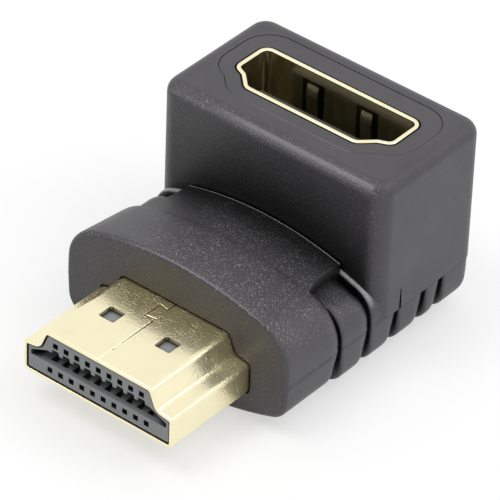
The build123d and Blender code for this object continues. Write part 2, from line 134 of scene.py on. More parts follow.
class PlugSizes(bpy.types.PropertyGroup):
    """Sizes of the plug's shell, insulator and contacts."""

    sheet: length("Sheet", 0.0003, "Thickness of the folded shell")
    tip_radius: length("Tip radius", 0.00016, "Outside radius of the shell's tip")
    window: length("Window", 0.0014, "Side of each latch window")
    window_corner: length("Window corner", 0.00015, "Corner radius of each latch window")
    window_spacing: length("Window spacing", 0.0052, "Distance between the two windows")
    window_setback: length("Window setback", 0.00385, "Windows' centre from the moulding's front face")
    seam_width: length("Seam width", 0.00008, "Width of the butt seam at the root")
    seam_tip_share: FloatProperty(name="Seam tip share", default=0.15, description="Its width at the tip, as a share")
    seam_flare: length("Seam flare", 0.00009, "Rolled edges of the seam, on each side")
    seam_roll: length("Seam roll", 0.00005, "Depth of the rolled edges")
    key_start: length("Key start", 0.0008, "Seam's key ahead of the moulding's front face")
    key_length: length("Key length", 0.00135, "Length of the key")
    key_depth: length("Key depth", 0.00085, "How far the key reaches to the side")
    key_taper: length("Key taper", 0.00015, "Slant of the key's flanks")
    pit_setback: length("Pit setback", 0.00675, "Punch mark ahead of the moulding's front face")
    pit_shift: length("Pit shift", 0.0001, "Punch mark to the side of the seam")
    pit_radius: length("Pit radius", 0.00012, "Radius of the punch mark")
    insulator_gap: length("Insulator gap", 0.00005, "Gap between shell and insulator")
    insulator_edge: length("Insulator edge", 0.00009, "Chamfer round the insulator's face")
    insulator_recess: length("Insulator recess", 0.0001, "Insulator's face behind the shell's tip")
    insulator_root: length("Insulator root", 0.0015, "Insulator's rear end behind the moulding's face")
    front_wall: length("Front wall", 0.0004, "Insulator's wall that the square holes go through")
    slot_end_inset: length("Slot end inset", 0.00065, "Slot's end, in from the shell's side")
    slot_end_rise: length("Slot end rise", -0.0002, "Top of the slot's ends, from the axis")
    slot_lobe_inset: length("Slot lobe inset", 0.0022, "Where the slot reaches its full height")
    slot_wide_side: length("Slot wide side", -0.0006, "Slot's wide side, from the axis")
    slot_narrow_side: length("Slot narrow side", 0.00047, "Slot's narrow side, from the axis")
    slot_floor: length("Slot floor", 0.001, "Slot's floor ahead of the moulding's face")
    scallop_width: length("Scallop width", 0.00068, "Width of each scallop over the slot")
    scallop_rise: length("Scallop rise", 0.00078, "Top of the scallops, from the axis")
    hole: length("Hole", 0.00046, "Side of each square hole")
    hole_offset: length("Hole offset", 0.00118, "Rows of holes, from the axis")
    channel_width: length("Channel width", 0.00056, "Width of the channel behind each hole")
    channel_offset: length("Channel offset", 0.0015, "Outside of the channels, from the axis")
    contact_tip: length("Contact tip", 0.0001, "Contacts' tips behind the front wall")
    contact_root: length("Contact root", 0.0003, "Contacts' rear ends behind the shell's")
    contact_proud: length("Contact proud", 0.000045, "Sprung bends proud of the slot's sides")
    contact_bend: length("Contact bend", 0.0017, "Sprung bend behind the contact's tip")
    contact_rise: length("Contact rise", 0.0034, "Start of the straight run behind the contact's tip")
    contact_run: length("Contact run", 0.00095, "Straight run, from the axis")
    step_start: length("Step start", 0.0012, "Start of the step to the board, ahead of the insulator's rear")
    step_end: length("Step end", 0.0005, "End of that step, ahead of the insulator's rear")
    spring_bend: length("Spring bend", 0.0006, "Radius of the contacts' sprung bends")
    step_bend: length("Step bend", 0.00025, "Radius of the bends of the step to the board")


class SocketSizes(bpy.types.PropertyGroup):
    """Sizes of the socket's shell, springs, tongue and contacts."""

    axis_y: length("Axis", (TONGUE_LOW.y + TONGUE_HIGH.y) / 2, "Socket's axis behind the moulding's front face")
    rim: length("Rim", SOCKET_HIGH.z, "Height of the rim")
    foot: length("Foot", 0.00095, "Height of the shell's foot")
    mating_gap: length("Mating gap", 0.00005, "Gap round a seated plug")
    sheet: length("Sheet", 0.00035, "Thickness of the folded shell")
    rim_radius: length("Rim radius", 0.00012, "Radius of the rim's edges")
    spring_spacing: length("Spring spacing", 0.005, "Distance between the two springs of a side")
    spring_width: length("Spring width", 0.001, "Width of each spring")
    spring_slit: length("Spring slit", 0.0005, "Slit on each side of a spring")
    spring_top: length("Spring top", 0.00095, "Top of the springs' cut-outs below the rim")
    spring_length: length("Spring length", 0.0046, "Length of the springs' cut-outs")
    spring_sheet: length("Spring sheet", 0.0002, "Thickness of the springs")
    spring_press: length("Spring press", 0.0003, "Springs' bump, inwards from the wall")
    tongue_top: length("Tongue top", TONGUE_HIGH.z, "Height of the tongue's end")
    tongue_gap: length("Tongue gap", 0.000085, "Gap between the tongue and a plug's slot")
    tongue_end_gap: length("Tongue end gap", 0.0003, "The same at the tongue's ends")
    base_top: length("Base top", 0.004, "Height of the insulator's base")
    base_foot: length("Base foot", TONGUE_LOW.z, "Height of the insulator's underside")
    contact_recess: length("Contact recess", 0.0005, "Contacts' tips below the tongue's end")
    contact_proud: length("Contact proud", 0.00003, "Contacts' faces proud of the tongue")
    tail: length("Tail", 0.0015, "Length of each contact's tail on the board")
    tail_bend: length("Tail bend", 0.0003, "Radius of the bend between blade and tail")
    spring_root: length("Spring root", 0.0006, "Straight part at the springs' feet")
    spring_root_bend: length("Spring root bend", 0.001, "Radius of the bend above that part")
    spring_bump: length("Spring bump", 0.0012, "Springs' bump below the top of their cut-outs")
    spring_bump_bend: length("Spring bump bend", 0.0005, "Radius of the springs' bump")
    spring_tip_press: length("Spring tip press", 0.00015, "Springs' tips, inwards from the wall")
    leg_width: length("Leg width", 0.001, "Width of each leg")
    leg_inset: length("Leg inset", 0.0029, "Distance between the rear legs, less than the shell's width")


class BootSizes(bpy.types.PropertyGroup):
    """Sizes of the outer moulding."""

    half_width: length("Half width", 0.0103, "Half width at the parting line")
    side_bow: length("Side bow", 0.0002, "How far the sides bow out")
    crown_radius: length("Crown radius", 0.026, "Radius of the crowned top and underside")
    front_top: length("Front top", 0.00595, "Height of the crown at the front face")
    slope: FloatProperty(name="Slope", default=0.105, description="Fall of the crown, per length to the rear")
    bottom: length("Bottom", -0.00495, "Lowest point of the bowed underside, before its flat")
    rest: length("Rest", BOOT_LOW.z, "Height of the flat that it rests on")
    parting: length("Parting line", -0.0002, "Height of the parting line")
    front_corner: length("Front corner", 0.0035, "Upper corner radius at the front face")
    back_corner: length("Back corner", 0.0043, "Upper corner radius of the saddle at its rear")
    rear_corner: length("Rear corner", 0.0024, "Upper corner radius of the ribs")
    bottom_corner: length("Bottom corner", 0.0017, "Lower corner radius")
    front_edge: length("Front edge", 0.0004, "Radius round the front face")
    rib_front_edge: length("Rib front edge", 0.0003, "Radius of each rib's front edge")
    rib_rear_edge: length("Rib rear edge", 0.0014, "Radius of each rib's rear, over which the next one stands")
    groove_depth: length("Groove depth", 0.00095, "Depth of the grooves at the upper and lower corners")
    side_share: FloatProperty(name="Side share", default=0.42, description="Grooves' depth on the sides, as a share")
    rib_top_drop: length("Rib top drop", 0.0007, "Ribs' crown below the saddle")
    rib_bottom_drop: length("Rib bottom drop", 0.00035, "Ribs' underside below the front block's")
    rib_lengths: FloatVectorProperty(name="Rib lengths", size=4, default=(0.00335, 0.0032, 0.0032, 0.00205),
                                     description="Lengths of the first four ribs", unit="LENGTH", precision=6)
    last_rib: length("Last rib", 0.00375, "Length of the last rib, under the socket block's rear")
    saddle_half: length("Saddle half width", 0.00705, "Half width of the saddle")
    saddle_spread: length("Saddle spread", 0.00005, "How far the saddle widens to its rear")
    saddle_flare: length("Saddle flare", 0.00135, "Widening where it joins the front block")
    flare_start: length("Flare start", 0.0024, "Start of the flare ahead of the first groove")
    flare_end: length("Flare end", 0.0006, "End of the flare behind the first groove")
    flare_radius: length("Flare radius", 0.006, "Bend between flare and saddle")
    saddle_step: length("Saddle step", 0.00003, "Saddle's top below the front block's")
    saddle_edge: length("Saddle edge", 0.00014, "Radius of the saddle's edges")
    saddle_foot: length("Saddle foot", 0.002, "Height at which the saddle's walls end inside the neck")
    saddle_gap: length("Saddle gap", 0.00012, "Fine groove between saddle and socket block")
    block_front: length("Block front", 0.01005, "Front of the socket block")
    block_top: length("Block top", BOOT_HIGH.z, "Top of the socket block")
    block_rear: length("Block rear", BOOT_HIGH.y, "Rear of the socket block")
    block_step: length("Block step", 0.00005, "Socket block beyond the ribs below it")
    block_corner: length("Block corner", 0.0015, "Radius of the block's upright edges")
    block_edge: length("Block edge", 0.0011, "Radius of the block's top edges")
    flash: length("Flash", 0.00004, "Height of the flash along the parting line")
    collar_wall: length("Collar wall", 0.0015, "Inner moulding's wall round the socket")
    collar_shift: length("Collar shift", 0.0003, "How far that wall is set to the rear")
    shell_relief: length("Shell relief", 0.00013, "Gap between the moulding and both shells")
    collar_gap: length("Collar gap", 0.000015, "Fine seam between the collar and the outer moulding")
    collar_edge: length("Collar edge", 0.00006, "Chamfer of the collar's top edge")
    relief_depth: length("Relief depth", 0.0006, "Depth of the gap round the socket's shell")
    cavity_roof: length("Cavity roof", 0.0016, "Top of the inner moulding's body")
    cavity_corner: length("Cavity corner", 0.001, "Corner radius of the inner moulding's body")
    fading_height: length("Fading height", 0.0018, "Height of the fading groove above the parting line")
    fading_depth: length("Fading depth", 0.0006, "Depth of the fading groove at its foot")
    fading_half: length("Fading half width", 0.00014, "Half width of the fading groove at its foot")
    fading_tip: length("Fading tip", 0.00005, "Size of the fading groove's end")


class FinishColours(bpy.types.PropertyGroup):
    """Colours of the surfaces, linear."""

    moulding: colour("Moulding", (0.055, 0.0515, 0.0565), "Soft black moulding")
    # Painted highlight: a light colour laid on the stipple's crests as painted glints, and along edges as painted
    # highlight lines.
    painted_highlight: colour("Painted highlight", (0.36, 0.345, 0.365), "Crests of the stipple, rubbed bright")
    gold: colour("Gold", (0.95, 0.875, 0.6), "Pale gold plating")
    # Painted reflection: a darker, more saturated gold laid near the plug's root, standing in for the moulding's dark
    # reflection.
    reflection_gold: colour("Gold in painted reflection", (0.86, 0.75, 0.4), "Gold plating near the moulding")
    insulator: colour("Insulator", (0.235, 0.245, 0.25), "Grey plug insulator")
    tongue: colour("Tongue", (0.02, 0.019, 0.018), "Black socket insulator")
    contact: colour("Contact", (0.8, 0.77, 0.7), "Plated contacts")
    board: colour("Board", (0.02, 0.12, 0.05), "Green board")
    floor: colour("Floor", (0.9, 0.9, 0.9), "Pale floor")


class StudioSizes(bpy.types.PropertyGroup):
    """The camera."""

    azimuth: FloatProperty(name="Azimuth", default=radians(38.188), subtype="ANGLE",
                           description="Camera's turn from looking along +Y")
    elevation: FloatProperty(name="Elevation", default=radians(37.166), subtype="ANGLE",
                             description="Camera's height above the horizon")
    roll: FloatProperty(name="Roll", default=radians(2.305), subtype="ANGLE", description="Camera's roll")
    distance: length("Distance", 0.3309, "Camera to the point it looks at")
    aim_right: length("Aim right", 0.005403, "Point the camera looks at, right of the plug's root")
    aim_up: length("Aim up", 0.005663, "Point the camera looks at, above the plug's root")
    lens: FloatProperty(name="Lens", default=333.55, description="Focal length in millimetres on a 36 mm sensor")


def unit(value):
    """Direction of a complex number."""
    return value / abs(value)


def rounded(corners, radii, grow=0.0, steps=ARC_STEPS):
    """Anticlockwise outline with rounded corners, offset outwards by grow, as complex points."""
    points = []
    for i, corner in enumerate(corners):
        before = unit(corner - corners[i - 1])
        after = unit(corners[(i + 1) % len(corners)] - corner)
        turn = phase(after / before)
        side = 1 if turn > 0 else -1
        corner = corner - 1j * grow * (before + after) / (1 + cos(turn))
        radius = max(radii[i] + side * grow, FINE)
        start = corner - before * radius * tan(abs(turn) / 2)
        centre = start + side * 1j * before * radius
        points += [centre + (start - centre) * rect(1, turn * k / steps) for k in range(steps + 1)]
    return points


def folded(path, radii, steps=EDGE_STEPS):
    """Open path with rounded bends, as complex points."""
    points = [path[0]]
    for before_point, corner, after_point, radius in zip(path, path[1:], path[2:], radii):
        before, after = unit(corner - before_point), unit(after_point - corner)
        turn = phase(after / before)
        side = 1 if turn > 0 else -1
        start = corner - before * radius * tan(abs(turn) / 2)
        centre = start + side * 1j * before * radius
        points += [centre + (start - centre) * rect(1, turn * k / steps) for k in range(steps + 1)]
    return points + [path[-1]]


def connector_outline(grow, side_rise, shoulder_inset, shoulder_rise):
    """D-shaped outline, narrow side up, offset outwards from the plug shell's outside."""
    c = bpy.context.scene.adapter_connector
    half, rise = c.width / 2, c.height / 2
    shoulder, narrow = half - shoulder_inset, half - c.narrow_inset
    corners = [
        complex(-half, -rise), complex(half, -rise), complex(half, side_rise), complex(shoulder, shoulder_rise),
        complex(narrow, rise), complex(-narrow, rise), complex(-shoulder, shoulder_rise), complex(-half, side_rise),
    ]
    radii = [c.wide_corner, c.wide_corner, c.shoulder_corner, c.slope_root,
             c.narrow_corner, c.narrow_corner, c.slope_root, c.shoulder_corner]
    return rounded(corners, radii, grow)


def plug_outline(grow):
    """Outline of the plug's shell, offset outwards from its outside."""
    c = bpy.context.scene.adapter_connector
    return connector_outline(grow, c.plug_side_rise, c.plug_shoulder_inset, c.plug_shoulder_rise)


def socket_outline(grow):
    """Outline of the socket, offset outwards from a seated plug's shell."""
    c = bpy.context.scene.adapter_connector
    return connector_outline(grow, c.socket_side_rise, c.socket_shoulder_inset, c.socket_shoulder_rise)


def box_outline(half_x, half_y, corner, grow=0.0):
    """Rectangle with rounded corners, about the origin."""
    corners = [complex(-half_x, -half_y), complex(half_x, -half_y), complex(half_x, half_y), complex(-half_x, half_y)]
    return rounded(corners, [corner] * 4, grow)


def facing_front(outline, y):
    """Outline set upright at a distance y, seen from the plug's tip."""
    return [Vector((p.real, y, p.imag)) for p in outline]


def facing_up(outline, z, centre_y=0.0):
    """Outline laid flat at a height z."""
    return [Vector((p.real, p.imag + centre_y, z)) for p in outline]


def socket_ring(grow, z):
    """Connector outline round the socket's axis, with its narrow side to the front."""
    s = bpy.context.scene.adapter_socket
    return [Vector((p.real, s.axis_y - p.imag, z)) for p in socket_outline(grow)]


def skin(name, rings, closed=False):
    """Closed mesh through rings of equally many points: capped at both ends, or a tube's wall if closed."""
    bm = bmesh.new()
    rows = [[bm.verts.new(p) for p in ring] for ring in rings]
    pairs = list(zip(rows, rows[1:] + rows[:1])) if closed else list(zip(rows, rows[1:]))
    for row, following in pairs:
        for i in range(len(row)):
            j = (i + 1) % len(row)
            bm.faces.new((row[i], row[j], following[j], following[i]))
    if not closed:
        bm.faces.new(rows[0][::-1])
        bm.faces.new(rows[-1])
    bmesh.ops.remove_doubles(bm, verts=bm.verts, dist=WELD)
    bmesh.ops.recalc_face_normals(bm, faces=bm.faces)
    mesh = bpy.data.meshes.new(name)
    bm.to_mesh(mesh)
    bm.free()
    piece = bpy.data.objects.new(name, mesh)
    bpy.context.scene.collection.objects.link(piece)
    return piece


def quarter(radius, steps=EDGE_STEPS):
    """(distance, inset) pairs down a rounded edge, from its end face to full size."""
    angles = [pi / 2 * k / steps for k in range(steps + 1)]
    return [(radius * (1 - cos(a)), radius * (1 - sin(a))) for a in angles]


def bake(piece):
    """Applies a piece's modifiers to its mesh."""
    shown = piece.evaluated_get(bpy.context.evaluated_depsgraph_get())
    mesh = bpy.data.meshes.new_from_object(shown)
    if piece.type == "MESH":
        piece.modifiers.clear()
        piece.data = mesh
        return piece
    made = bpy.data.objects.new(piece.name, mesh)
    bpy.context.scene.collection.objects.link(made)
    bpy.data.objects.remove(piece)
    return made


def combine(piece, others, operation):
    """Boolean of a piece with others, which are used up."""
    for other in others:
        modifier = piece.modifiers.new("Combine", "BOOLEAN")
        modifier.operation = operation
        modifier.solver = "EXACT"
        modifier.object = other
    bake(piece)
    for other in others:
        bpy.data.objects.remove(other)


def shade(piece, material):
    """Smooth shading up to an angle, one material in its slot, and a place under the root body."""
    piece.data.shade_smooth()
    piece.data.set_sharp_from_angle(angle=SMOOTH_ANGLE)
    weighted = piece.modifiers.new("Flat faces stay flat", "WEIGHTED_NORMAL")
    weighted.keep_sharp = True
    mesh = bake(piece).data
    mesh.materials.clear()
    mesh.materials.append(material)
    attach(piece, "root")


def set_or_link(tree, value, socket):
    """Gives an input socket a number, or links another socket to it."""
    if isinstance(value, (int, float)):
        socket.default_value = value
    else:
        tree.links.new(value, socket)


def calculate(tree, operation, first, second=0.0):
    """One step of arithmetic on sockets or numbers."""
    node = tree.nodes.new("ShaderNodeMath")
    node.operation = operation
    for socket, value in zip(node.inputs, (first, second)):
        set_or_link(tree, value, socket)
    return node.outputs[0]


def product(tree, first, *others):
    """Product of sockets and numbers."""
    for other in others:
        first = calculate(tree, "MULTIPLY", first, other)
    return first


def new_tree(name, inputs):
    """Geometry Nodes tree with a geometry output and named inputs."""
    tree = bpy.data.node_groups.new(name, "GeometryNodeTree")
    tree.interface.new_socket("Geometry", in_out="OUTPUT", socket_type="NodeSocketGeometry")
    for socket_name, kind in inputs:
        tree.interface.new_socket(socket_name, in_out="INPUT", socket_type=kind)
    entry = tree.nodes.new("NodeGroupInput")
    end = tree.nodes.new("NodeGroupOutput")
    return tree, entry.outputs, end.inputs


def end_tree(tree, geometry, material, out):
    """Ends a tree: makes its copies real, gives them their material and puts them out."""
    real = tree.nodes.new("GeometryNodeRealizeInstances")
    tree.links.new(geometry, real.inputs["Geometry"])
    finish = tree.nodes.new("GeometryNodeSetMaterial")
    tree.links.new(real.outputs["Geometry"], finish.inputs["Geometry"])
    tree.links.new(material, finish.inputs["Material"])
    tree.links.new(finish.outputs["Geometry"], out["Geometry"])


def row_tree():
    """Tree that repeats a piece across the width, centred, at a pitch."""
    name = "Row across the width"
    if name in bpy.data.node_groups:
        return bpy.data.node_groups[name]
    tree, given, out = new_tree(name, [
        ("Geometry", "NodeSocketGeometry"), ("Count", "NodeSocketInt"),
        ("Pitch", "NodeSocketFloat"), ("Material", "NodeSocketMaterial"),
    ])
    nodes, link = tree.nodes, tree.links.new
    gaps = calculate(tree, "SUBTRACT", given["Count"], 1.0)
    start = product(tree, gaps, given["Pitch"], -0.5)  # half the row's length, to the left
    first = nodes.new("ShaderNodeCombineXYZ")
    link(start, first.inputs["X"])
    step = nodes.new("ShaderNodeCombineXYZ")
    link(given["Pitch"], step.inputs["X"])
    line = nodes.new("GeometryNodeMeshLine")
    link(given["Count"], line.inputs["Count"])
    link(first.outputs[0], line.inputs["Start Location"])
    link(step.outputs[0], line.inputs["Offset"])
    copies = nodes.new("GeometryNodeInstanceOnPoints")
    link(line.outputs["Mesh"], copies.inputs["Points"])
    link(given["Geometry"], copies.inputs["Instance"])
    end_tree(tree, copies.outputs["Instances"], given["Material"], out)
    return tree


def strip_tree():
    """Tree that gives a path a flat section, as of folded strip, and repeats it across the width."""
    name = "Folded strips"
    if name in bpy.data.node_groups:
        return bpy.data.node_groups[name]
    tree, given, out = new_tree(name, [
        ("Geometry", "NodeSocketGeometry"), ("Count", "NodeSocketInt"), ("Pitch", "NodeSocketFloat"),
        ("Width", "NodeSocketFloat"), ("Sheet", "NodeSocketFloat"), ("Material", "NodeSocketMaterial"),
    ])
    nodes, link = tree.nodes, tree.links.new
    normals = nodes.new("GeometryNodeSetCurveNormal")
    normals.mode = "FREE"
    normals.inputs["Normal"].default_value = (1.0, 0.0, 0.0)
    link(given["Geometry"], normals.inputs["Curve"])
    section = nodes.new("GeometryNodeCurvePrimitiveQuadrilateral")
    link(given["Width"], section.inputs["Width"])
    link(given["Sheet"], section.inputs["Height"])
    sweep = nodes.new("GeometryNodeCurveToMesh")
    sweep.inputs["Fill Caps"].default_value = True
    link(normals.outputs["Curve"], sweep.inputs["Curve"])
    link(section.outputs["Curve"], sweep.inputs["Profile Curve"])
    row = nodes.new("GeometryNodeGroup")
    row.node_tree = row_tree()
    link(sweep.outputs["Mesh"], row.inputs["Geometry"])
    for socket_name in ("Count", "Pitch", "Material"):
        link(given[socket_name], row.inputs[socket_name])
    end_tree(tree, row.outputs["Geometry"], given["Material"], out)
    return tree


def run_tree(piece, tree, values):
    """Gives a piece a Geometry Nodes modifier with named values, and bakes it."""
    modifier = piece.modifiers.new(tree.name, "NODES")
    modifier.node_group = tree
    for item in tree.interface.items_tree:
        if item.in_out == "INPUT" and item.name in values:
            modifier[item.identifier] = values[item.name]
    return bake(piece)


def strips(name, path, count, pitch, width, sheet, material):
    """Row of folded strips whose centre line is a path of complex (y, z) points."""
    curve = bpy.data.curves.new(name, "CURVE")
    curve.dimensions = "3D"
    spline = curve.splines.new("POLY")
    spline.points.add(len(path) - 1)
    for point, place in zip(spline.points, path):
        point.co = (0.0, place.real, place.imag, 1.0)
    piece = bpy.data.objects.new(name, curve)
    bpy.context.scene.collection.objects.link(piece)
    return run_tree(piece, strip_tree(), {
        "Count": count, "Pitch": pitch, "Width": width, "Sheet": sheet, "Material": material,
    })


def cutters(name, outline, y_range, centre_z, count, pitch):
    """Row of prisms along Y that cut holes, each with an outline about its centre."""
    rings = [facing_front([p + 1j * centre_z for p in outline], y) for y in y_range]
    return run_tree(skin(name, rings), row_tree(), {"Count": count, "Pitch": pitch})


def join(name, parts):
    """One piece from several."""
    bm = bmesh.new()
    for part in parts:
        bm.from_mesh(part.data)
        bpy.data.objects.remove(part)
    mesh = bpy.data.meshes.new(name)
    bm.to_mesh(mesh)
    bm.free()
    piece = bpy.data.objects.new(name, mesh)
    bpy.context.scene.collection.objects.link(piece)
    return piece


def shader_group(name, inputs, outputs):
    """Shader node group with named inputs and outputs, each input with its default."""
    group = bpy.data.node_groups.new(name, "ShaderNodeTree")
    for socket_name, kind, default in inputs:
        socket = group.interface.new_socket(socket_name, in_out="INPUT", socket_type=kind)
        if default is not None:
            socket.default_value = default
    for socket_name, kind in outputs:
        group.interface.new_socket(socket_name, in_out="OUTPUT", socket_type=kind)
    entry = group.nodes.new("NodeGroupInput")
    end = group.nodes.new("NodeGroupOutput")
    return group, entry.outputs, end.inputs


def blend_value(tree, low, high, factor):
    """Value between two numbers or sockets by a factor socket."""
    node = tree.nodes.new("ShaderNodeMapRange")
    tree.links.new(factor, node.inputs["Value"])
    set_or_link(tree, low, node.inputs["To Min"])
    set_or_link(tree, high, node.inputs["To Max"])
    return node.outputs["Result"]


def noise(tree, vector, scale, detail=2.0, roughness=0.5):
    """Noise value at a scale in features per metre, a number or a socket."""
    node = tree.nodes.new("ShaderNodeTexNoise")
    tree.links.new(vector, node.inputs["Vector"])
    set_or_link(tree, scale, node.inputs["Scale"])
    node.inputs["Detail"].default_value = detail
    node.inputs["Roughness"].default_value = roughness
    return node.outputs["Fac"]


def map_range(tree, value, low, high):
    """Smooth step from 0 to 1 between two numbers."""
    node = tree.nodes.new("ShaderNodeMapRange")
    node.interpolation_type = "SMOOTHSTEP"
    node.inputs["From Min"].default_value = low
    node.inputs["From Max"].default_value = high
    tree.links.new(value, node.inputs["Value"])
    return node.outputs["Result"]


def turned_round(tree, mask):
    """Mask that is 1 where the given one is 0."""
    return calculate(tree, "SUBTRACT", 1.0, mask)


def parts_of(tree, vector):
    """X, Y and Z of a vector socket."""
    node = tree.nodes.new("ShaderNodeSeparateXYZ")
    tree.links.new(vector, node.inputs[0])
    return node.outputs


def scaled(tree, colour_socket, factor):
    """Colour made brighter or darker by a factor socket."""
    node = tree.nodes.new("ShaderNodeVectorMath")
    node.operation = "SCALE"
    tree.links.new(colour_socket, node.inputs[0])
    tree.links.new(factor, node.inputs["Scale"])
    return node.outputs[0]


def coloured_over(tree, under, over, factor):
    """Colour socket with a fixed colour laid over it by a factor socket."""
    node = tree.nodes.new("ShaderNodeMix")
    node.data_type = "RGBA"
    tree.links.new(factor, node.inputs["Factor"])
    tree.links.new(under, node.inputs["A"])
    node.inputs["B"].default_value = with_alpha(over)
    return node.outputs["Result"]


def eroded_grain():
    """Fine stipple of a spark-eroded mould: a height, and a mask of its crests, where painted glints go."""
    name = "Eroded grain"
    if name in bpy.data.node_groups:
        return bpy.data.node_groups[name]
    group, given, out = shader_group(
        name,
        [("Vector", "NodeSocketVector", None), ("Pits per Metre", "NodeSocketFloat", 4500.0),
         ("Unevenness", "NodeSocketFloat", 0.5)],
        [("Height", "NodeSocketFloat"), ("Crests", "NodeSocketFloat")],
    )
    vector, pits = given["Vector"], given["Pits per Metre"]
    fine_scale, crumb_scale, patch_scale = 1.6, 1.25, 0.13  # features per pit
    chosen_range, near_range = (0.15, 0.6), (0.08, 0.4)
    patch_range, crumb_range = (0.35, 0.62), (0.56, 0.74)
    fine_share = 0.5
    fine = noise(group, vector, product(group, pits, fine_scale), detail=3.0, roughness=0.62)
    grains = group.nodes.new("ShaderNodeTexVoronoi")
    grains.feature = "F1"
    group.links.new(vector, grains.inputs["Vector"])
    group.links.new(pits, grains.inputs["Scale"])
    colour_parts = group.nodes.new("ShaderNodeSeparateColor")
    group.links.new(grains.outputs["Color"], colour_parts.inputs["Color"])
    chosen = map_range(group, colour_parts.outputs[0], *chosen_range)
    near = turned_round(group, map_range(group, grains.outputs["Distance"], *near_range))
    patches = noise(group, vector, product(group, pits, patch_scale))
    patchy = blend_value(group, 1.0, map_range(group, patches, *patch_range), given["Unevenness"])
    crumbs = noise(group, vector, product(group, pits, crumb_scale), detail=1.0, roughness=0.4)
    uneven = calculate(group, "MAXIMUM", product(group, near, chosen), map_range(group, crumbs, *crumb_range))
    crest = product(group, uneven, patchy)
    height = calculate(group, "ADD", product(group, fine, fine_share), crest)
    group.links.new(height, out["Height"])
    group.links.new(crest, out["Crests"])
    return group


def uneven_surface():
    """Slow variation of a surface, for its colour, roughness and slight waviness."""
    name = "Uneven surface"
    if name in bpy.data.node_groups:
        return bpy.data.node_groups[name]
    group, given, out = shader_group(
        name,
        [("Vector", "NodeSocketVector", None), ("Patches per Metre", "NodeSocketFloat", 300.0),
         ("Colour", "NodeSocketColor", (0.5, 0.5, 0.5, 1.0)), ("Colour Change", "NodeSocketFloat", 0.15),
         ("Roughness", "NodeSocketFloat", 0.4), ("Roughness Change", "NodeSocketFloat", 0.08)],
        [("Colour", "NodeSocketColor"), ("Roughness", "NodeSocketFloat"), ("Height", "NodeSocketFloat")],
    )
    middle, roughness_scale = 0.5, 2.7  # a noise's middle value, and features per patch
    patches = noise(group, given["Vector"], given["Patches per Metre"], detail=4.0)
    swing = calculate(group, "SUBTRACT", patches, middle)
    gain = calculate(group, "ADD", product(group, swing, given["Colour Change"]), 1.0)
    tint = scaled(group, given["Colour"], gain)
    second = noise(group, given["Vector"], product(group, given["Patches per Metre"], roughness_scale), detail=3.0)
    change = product(group, calculate(group, "SUBTRACT", second, middle), given["Roughness Change"])
    group.links.new(tint, out["Colour"])
    group.links.new(calculate(group, "ADD", given["Roughness"], change), out["Roughness"])
    group.links.new(patches, out["Height"])
    return group


def place_group(tree, group, vector, values):
    """Places a shader group in a material with its own values."""
    node = tree.nodes.new("ShaderNodeGroup")
    node.node_tree = group
    tree.links.new(vector, node.inputs["Vector"])
    for socket_name, value in values.items():
        node.inputs[socket_name].default_value = value
    return node.outputs


def bump(tree, height, strength, distance, normal=None):
    """Bump from a height socket; distance in metres."""
    node = tree.nodes.new("ShaderNodeBump")
    node.inputs["Strength"].default_value = strength
    node.inputs["Distance"].default_value = distance
    tree.links.new(height, node.inputs["Height"])
    if normal is not None:
        tree.links.new(normal, node.inputs["Normal"])
    return node.outputs["Normal"]


def material_start(name):
    """New node material: its tree, its shader's inputs, and object coordinates."""
    material = bpy.data.materials.new(name)
    material.use_nodes = True
    tree = material.node_tree
    shader = tree.nodes["Principled BSDF"]
    coordinates = tree.nodes.new("ShaderNodeTexCoord")
    return material, tree, shader.inputs, coordinates.outputs["Object"]


def with_alpha(rgb):
    """RGBA from a colour property."""
    return (*rgb, 1.0)


def stipple_zone(tree, vector):
    """How strongly a place is stippled, most on the saddle's top, and a mask of painted highlight lines along edges.
    """
    b = bpy.context.scene.adapter_boot
    # The stipple's strength sets both its relief and its painted glints.
    everywhere, on_top, on_front, on_edge = 0.05, 0.6, 0.14, 0.32  # strength of the stipple
    # Least share across the width, and the strength of the painted highlight along the front edge.
    least_across_share, front_highlight_strength = 0.12, 0.5
    upward_range, forward_range = (0.25, 0.8), (0.4, 0.95)  # of the normal's parts
    edge_range, front_highlight_range = (0.15, 0.4), (0.44, 0.5)  # of the product of both parts
    across_range = (-0.007, -0.001)  # across the width
    rear = b.block_front - b.saddle_gap
    ahead_range = (b.block_front - 0.0001, b.block_front + 0.0004)
    rear_highlight_range = (rear - 0.0002, rear - 0.00014)
    position = parts_of(tree, vector)
    normal = parts_of(tree, tree.nodes.new("ShaderNodeNewGeometry").outputs["Normal"])
    upward = map_range(tree, normal["Z"], *upward_range)
    ahead = turned_round(tree, map_range(tree, position["Y"], *ahead_range))
    saddle_top = product(tree, upward, ahead)
    across_share = blend_value(tree, least_across_share, 1.0, map_range(tree, position["X"], *across_range))
    facing = product(tree, normal["Y"], -1.0)
    forward = map_range(tree, facing, *forward_range)
    slanted = product(tree, normal["Z"], facing)
    edge = map_range(tree, slanted, *edge_range)
    zone = calculate(tree, "ADD", everywhere, product(tree, saddle_top, across_share, on_top))
    zone = calculate(tree, "ADD", zone, product(tree, forward, on_front))
    zone = calculate(tree, "MINIMUM", calculate(tree, "ADD", zone, product(tree, edge, on_edge)), 1.0)
    # Painted highlight lines: along the saddle's rear edge, and along the front block's rounded front edge.
    rear_highlight = product(tree, map_range(tree, position["Y"], *rear_highlight_range), saddle_top)
    front_highlight = product(tree, map_range(tree, slanted, *front_highlight_range), across_share, front_highlight_strength)
    return zone, calculate(tree, "MAXIMUM", rear_highlight, front_highlight)


def painted_recess_shade(tree, reach, own_only, span, darkest):
    """Painted shade: a factor that is 1 where a place is open within a reach, and the darkest value in a deep recess.
    """
    recess = tree.nodes.new("ShaderNodeAmbientOcclusion")
    recess.inputs["Distance"].default_value = reach
    recess.only_local = own_only
    return blend_value(tree, darkest, 1.0, map_range(tree, recess.outputs["AO"], *span))


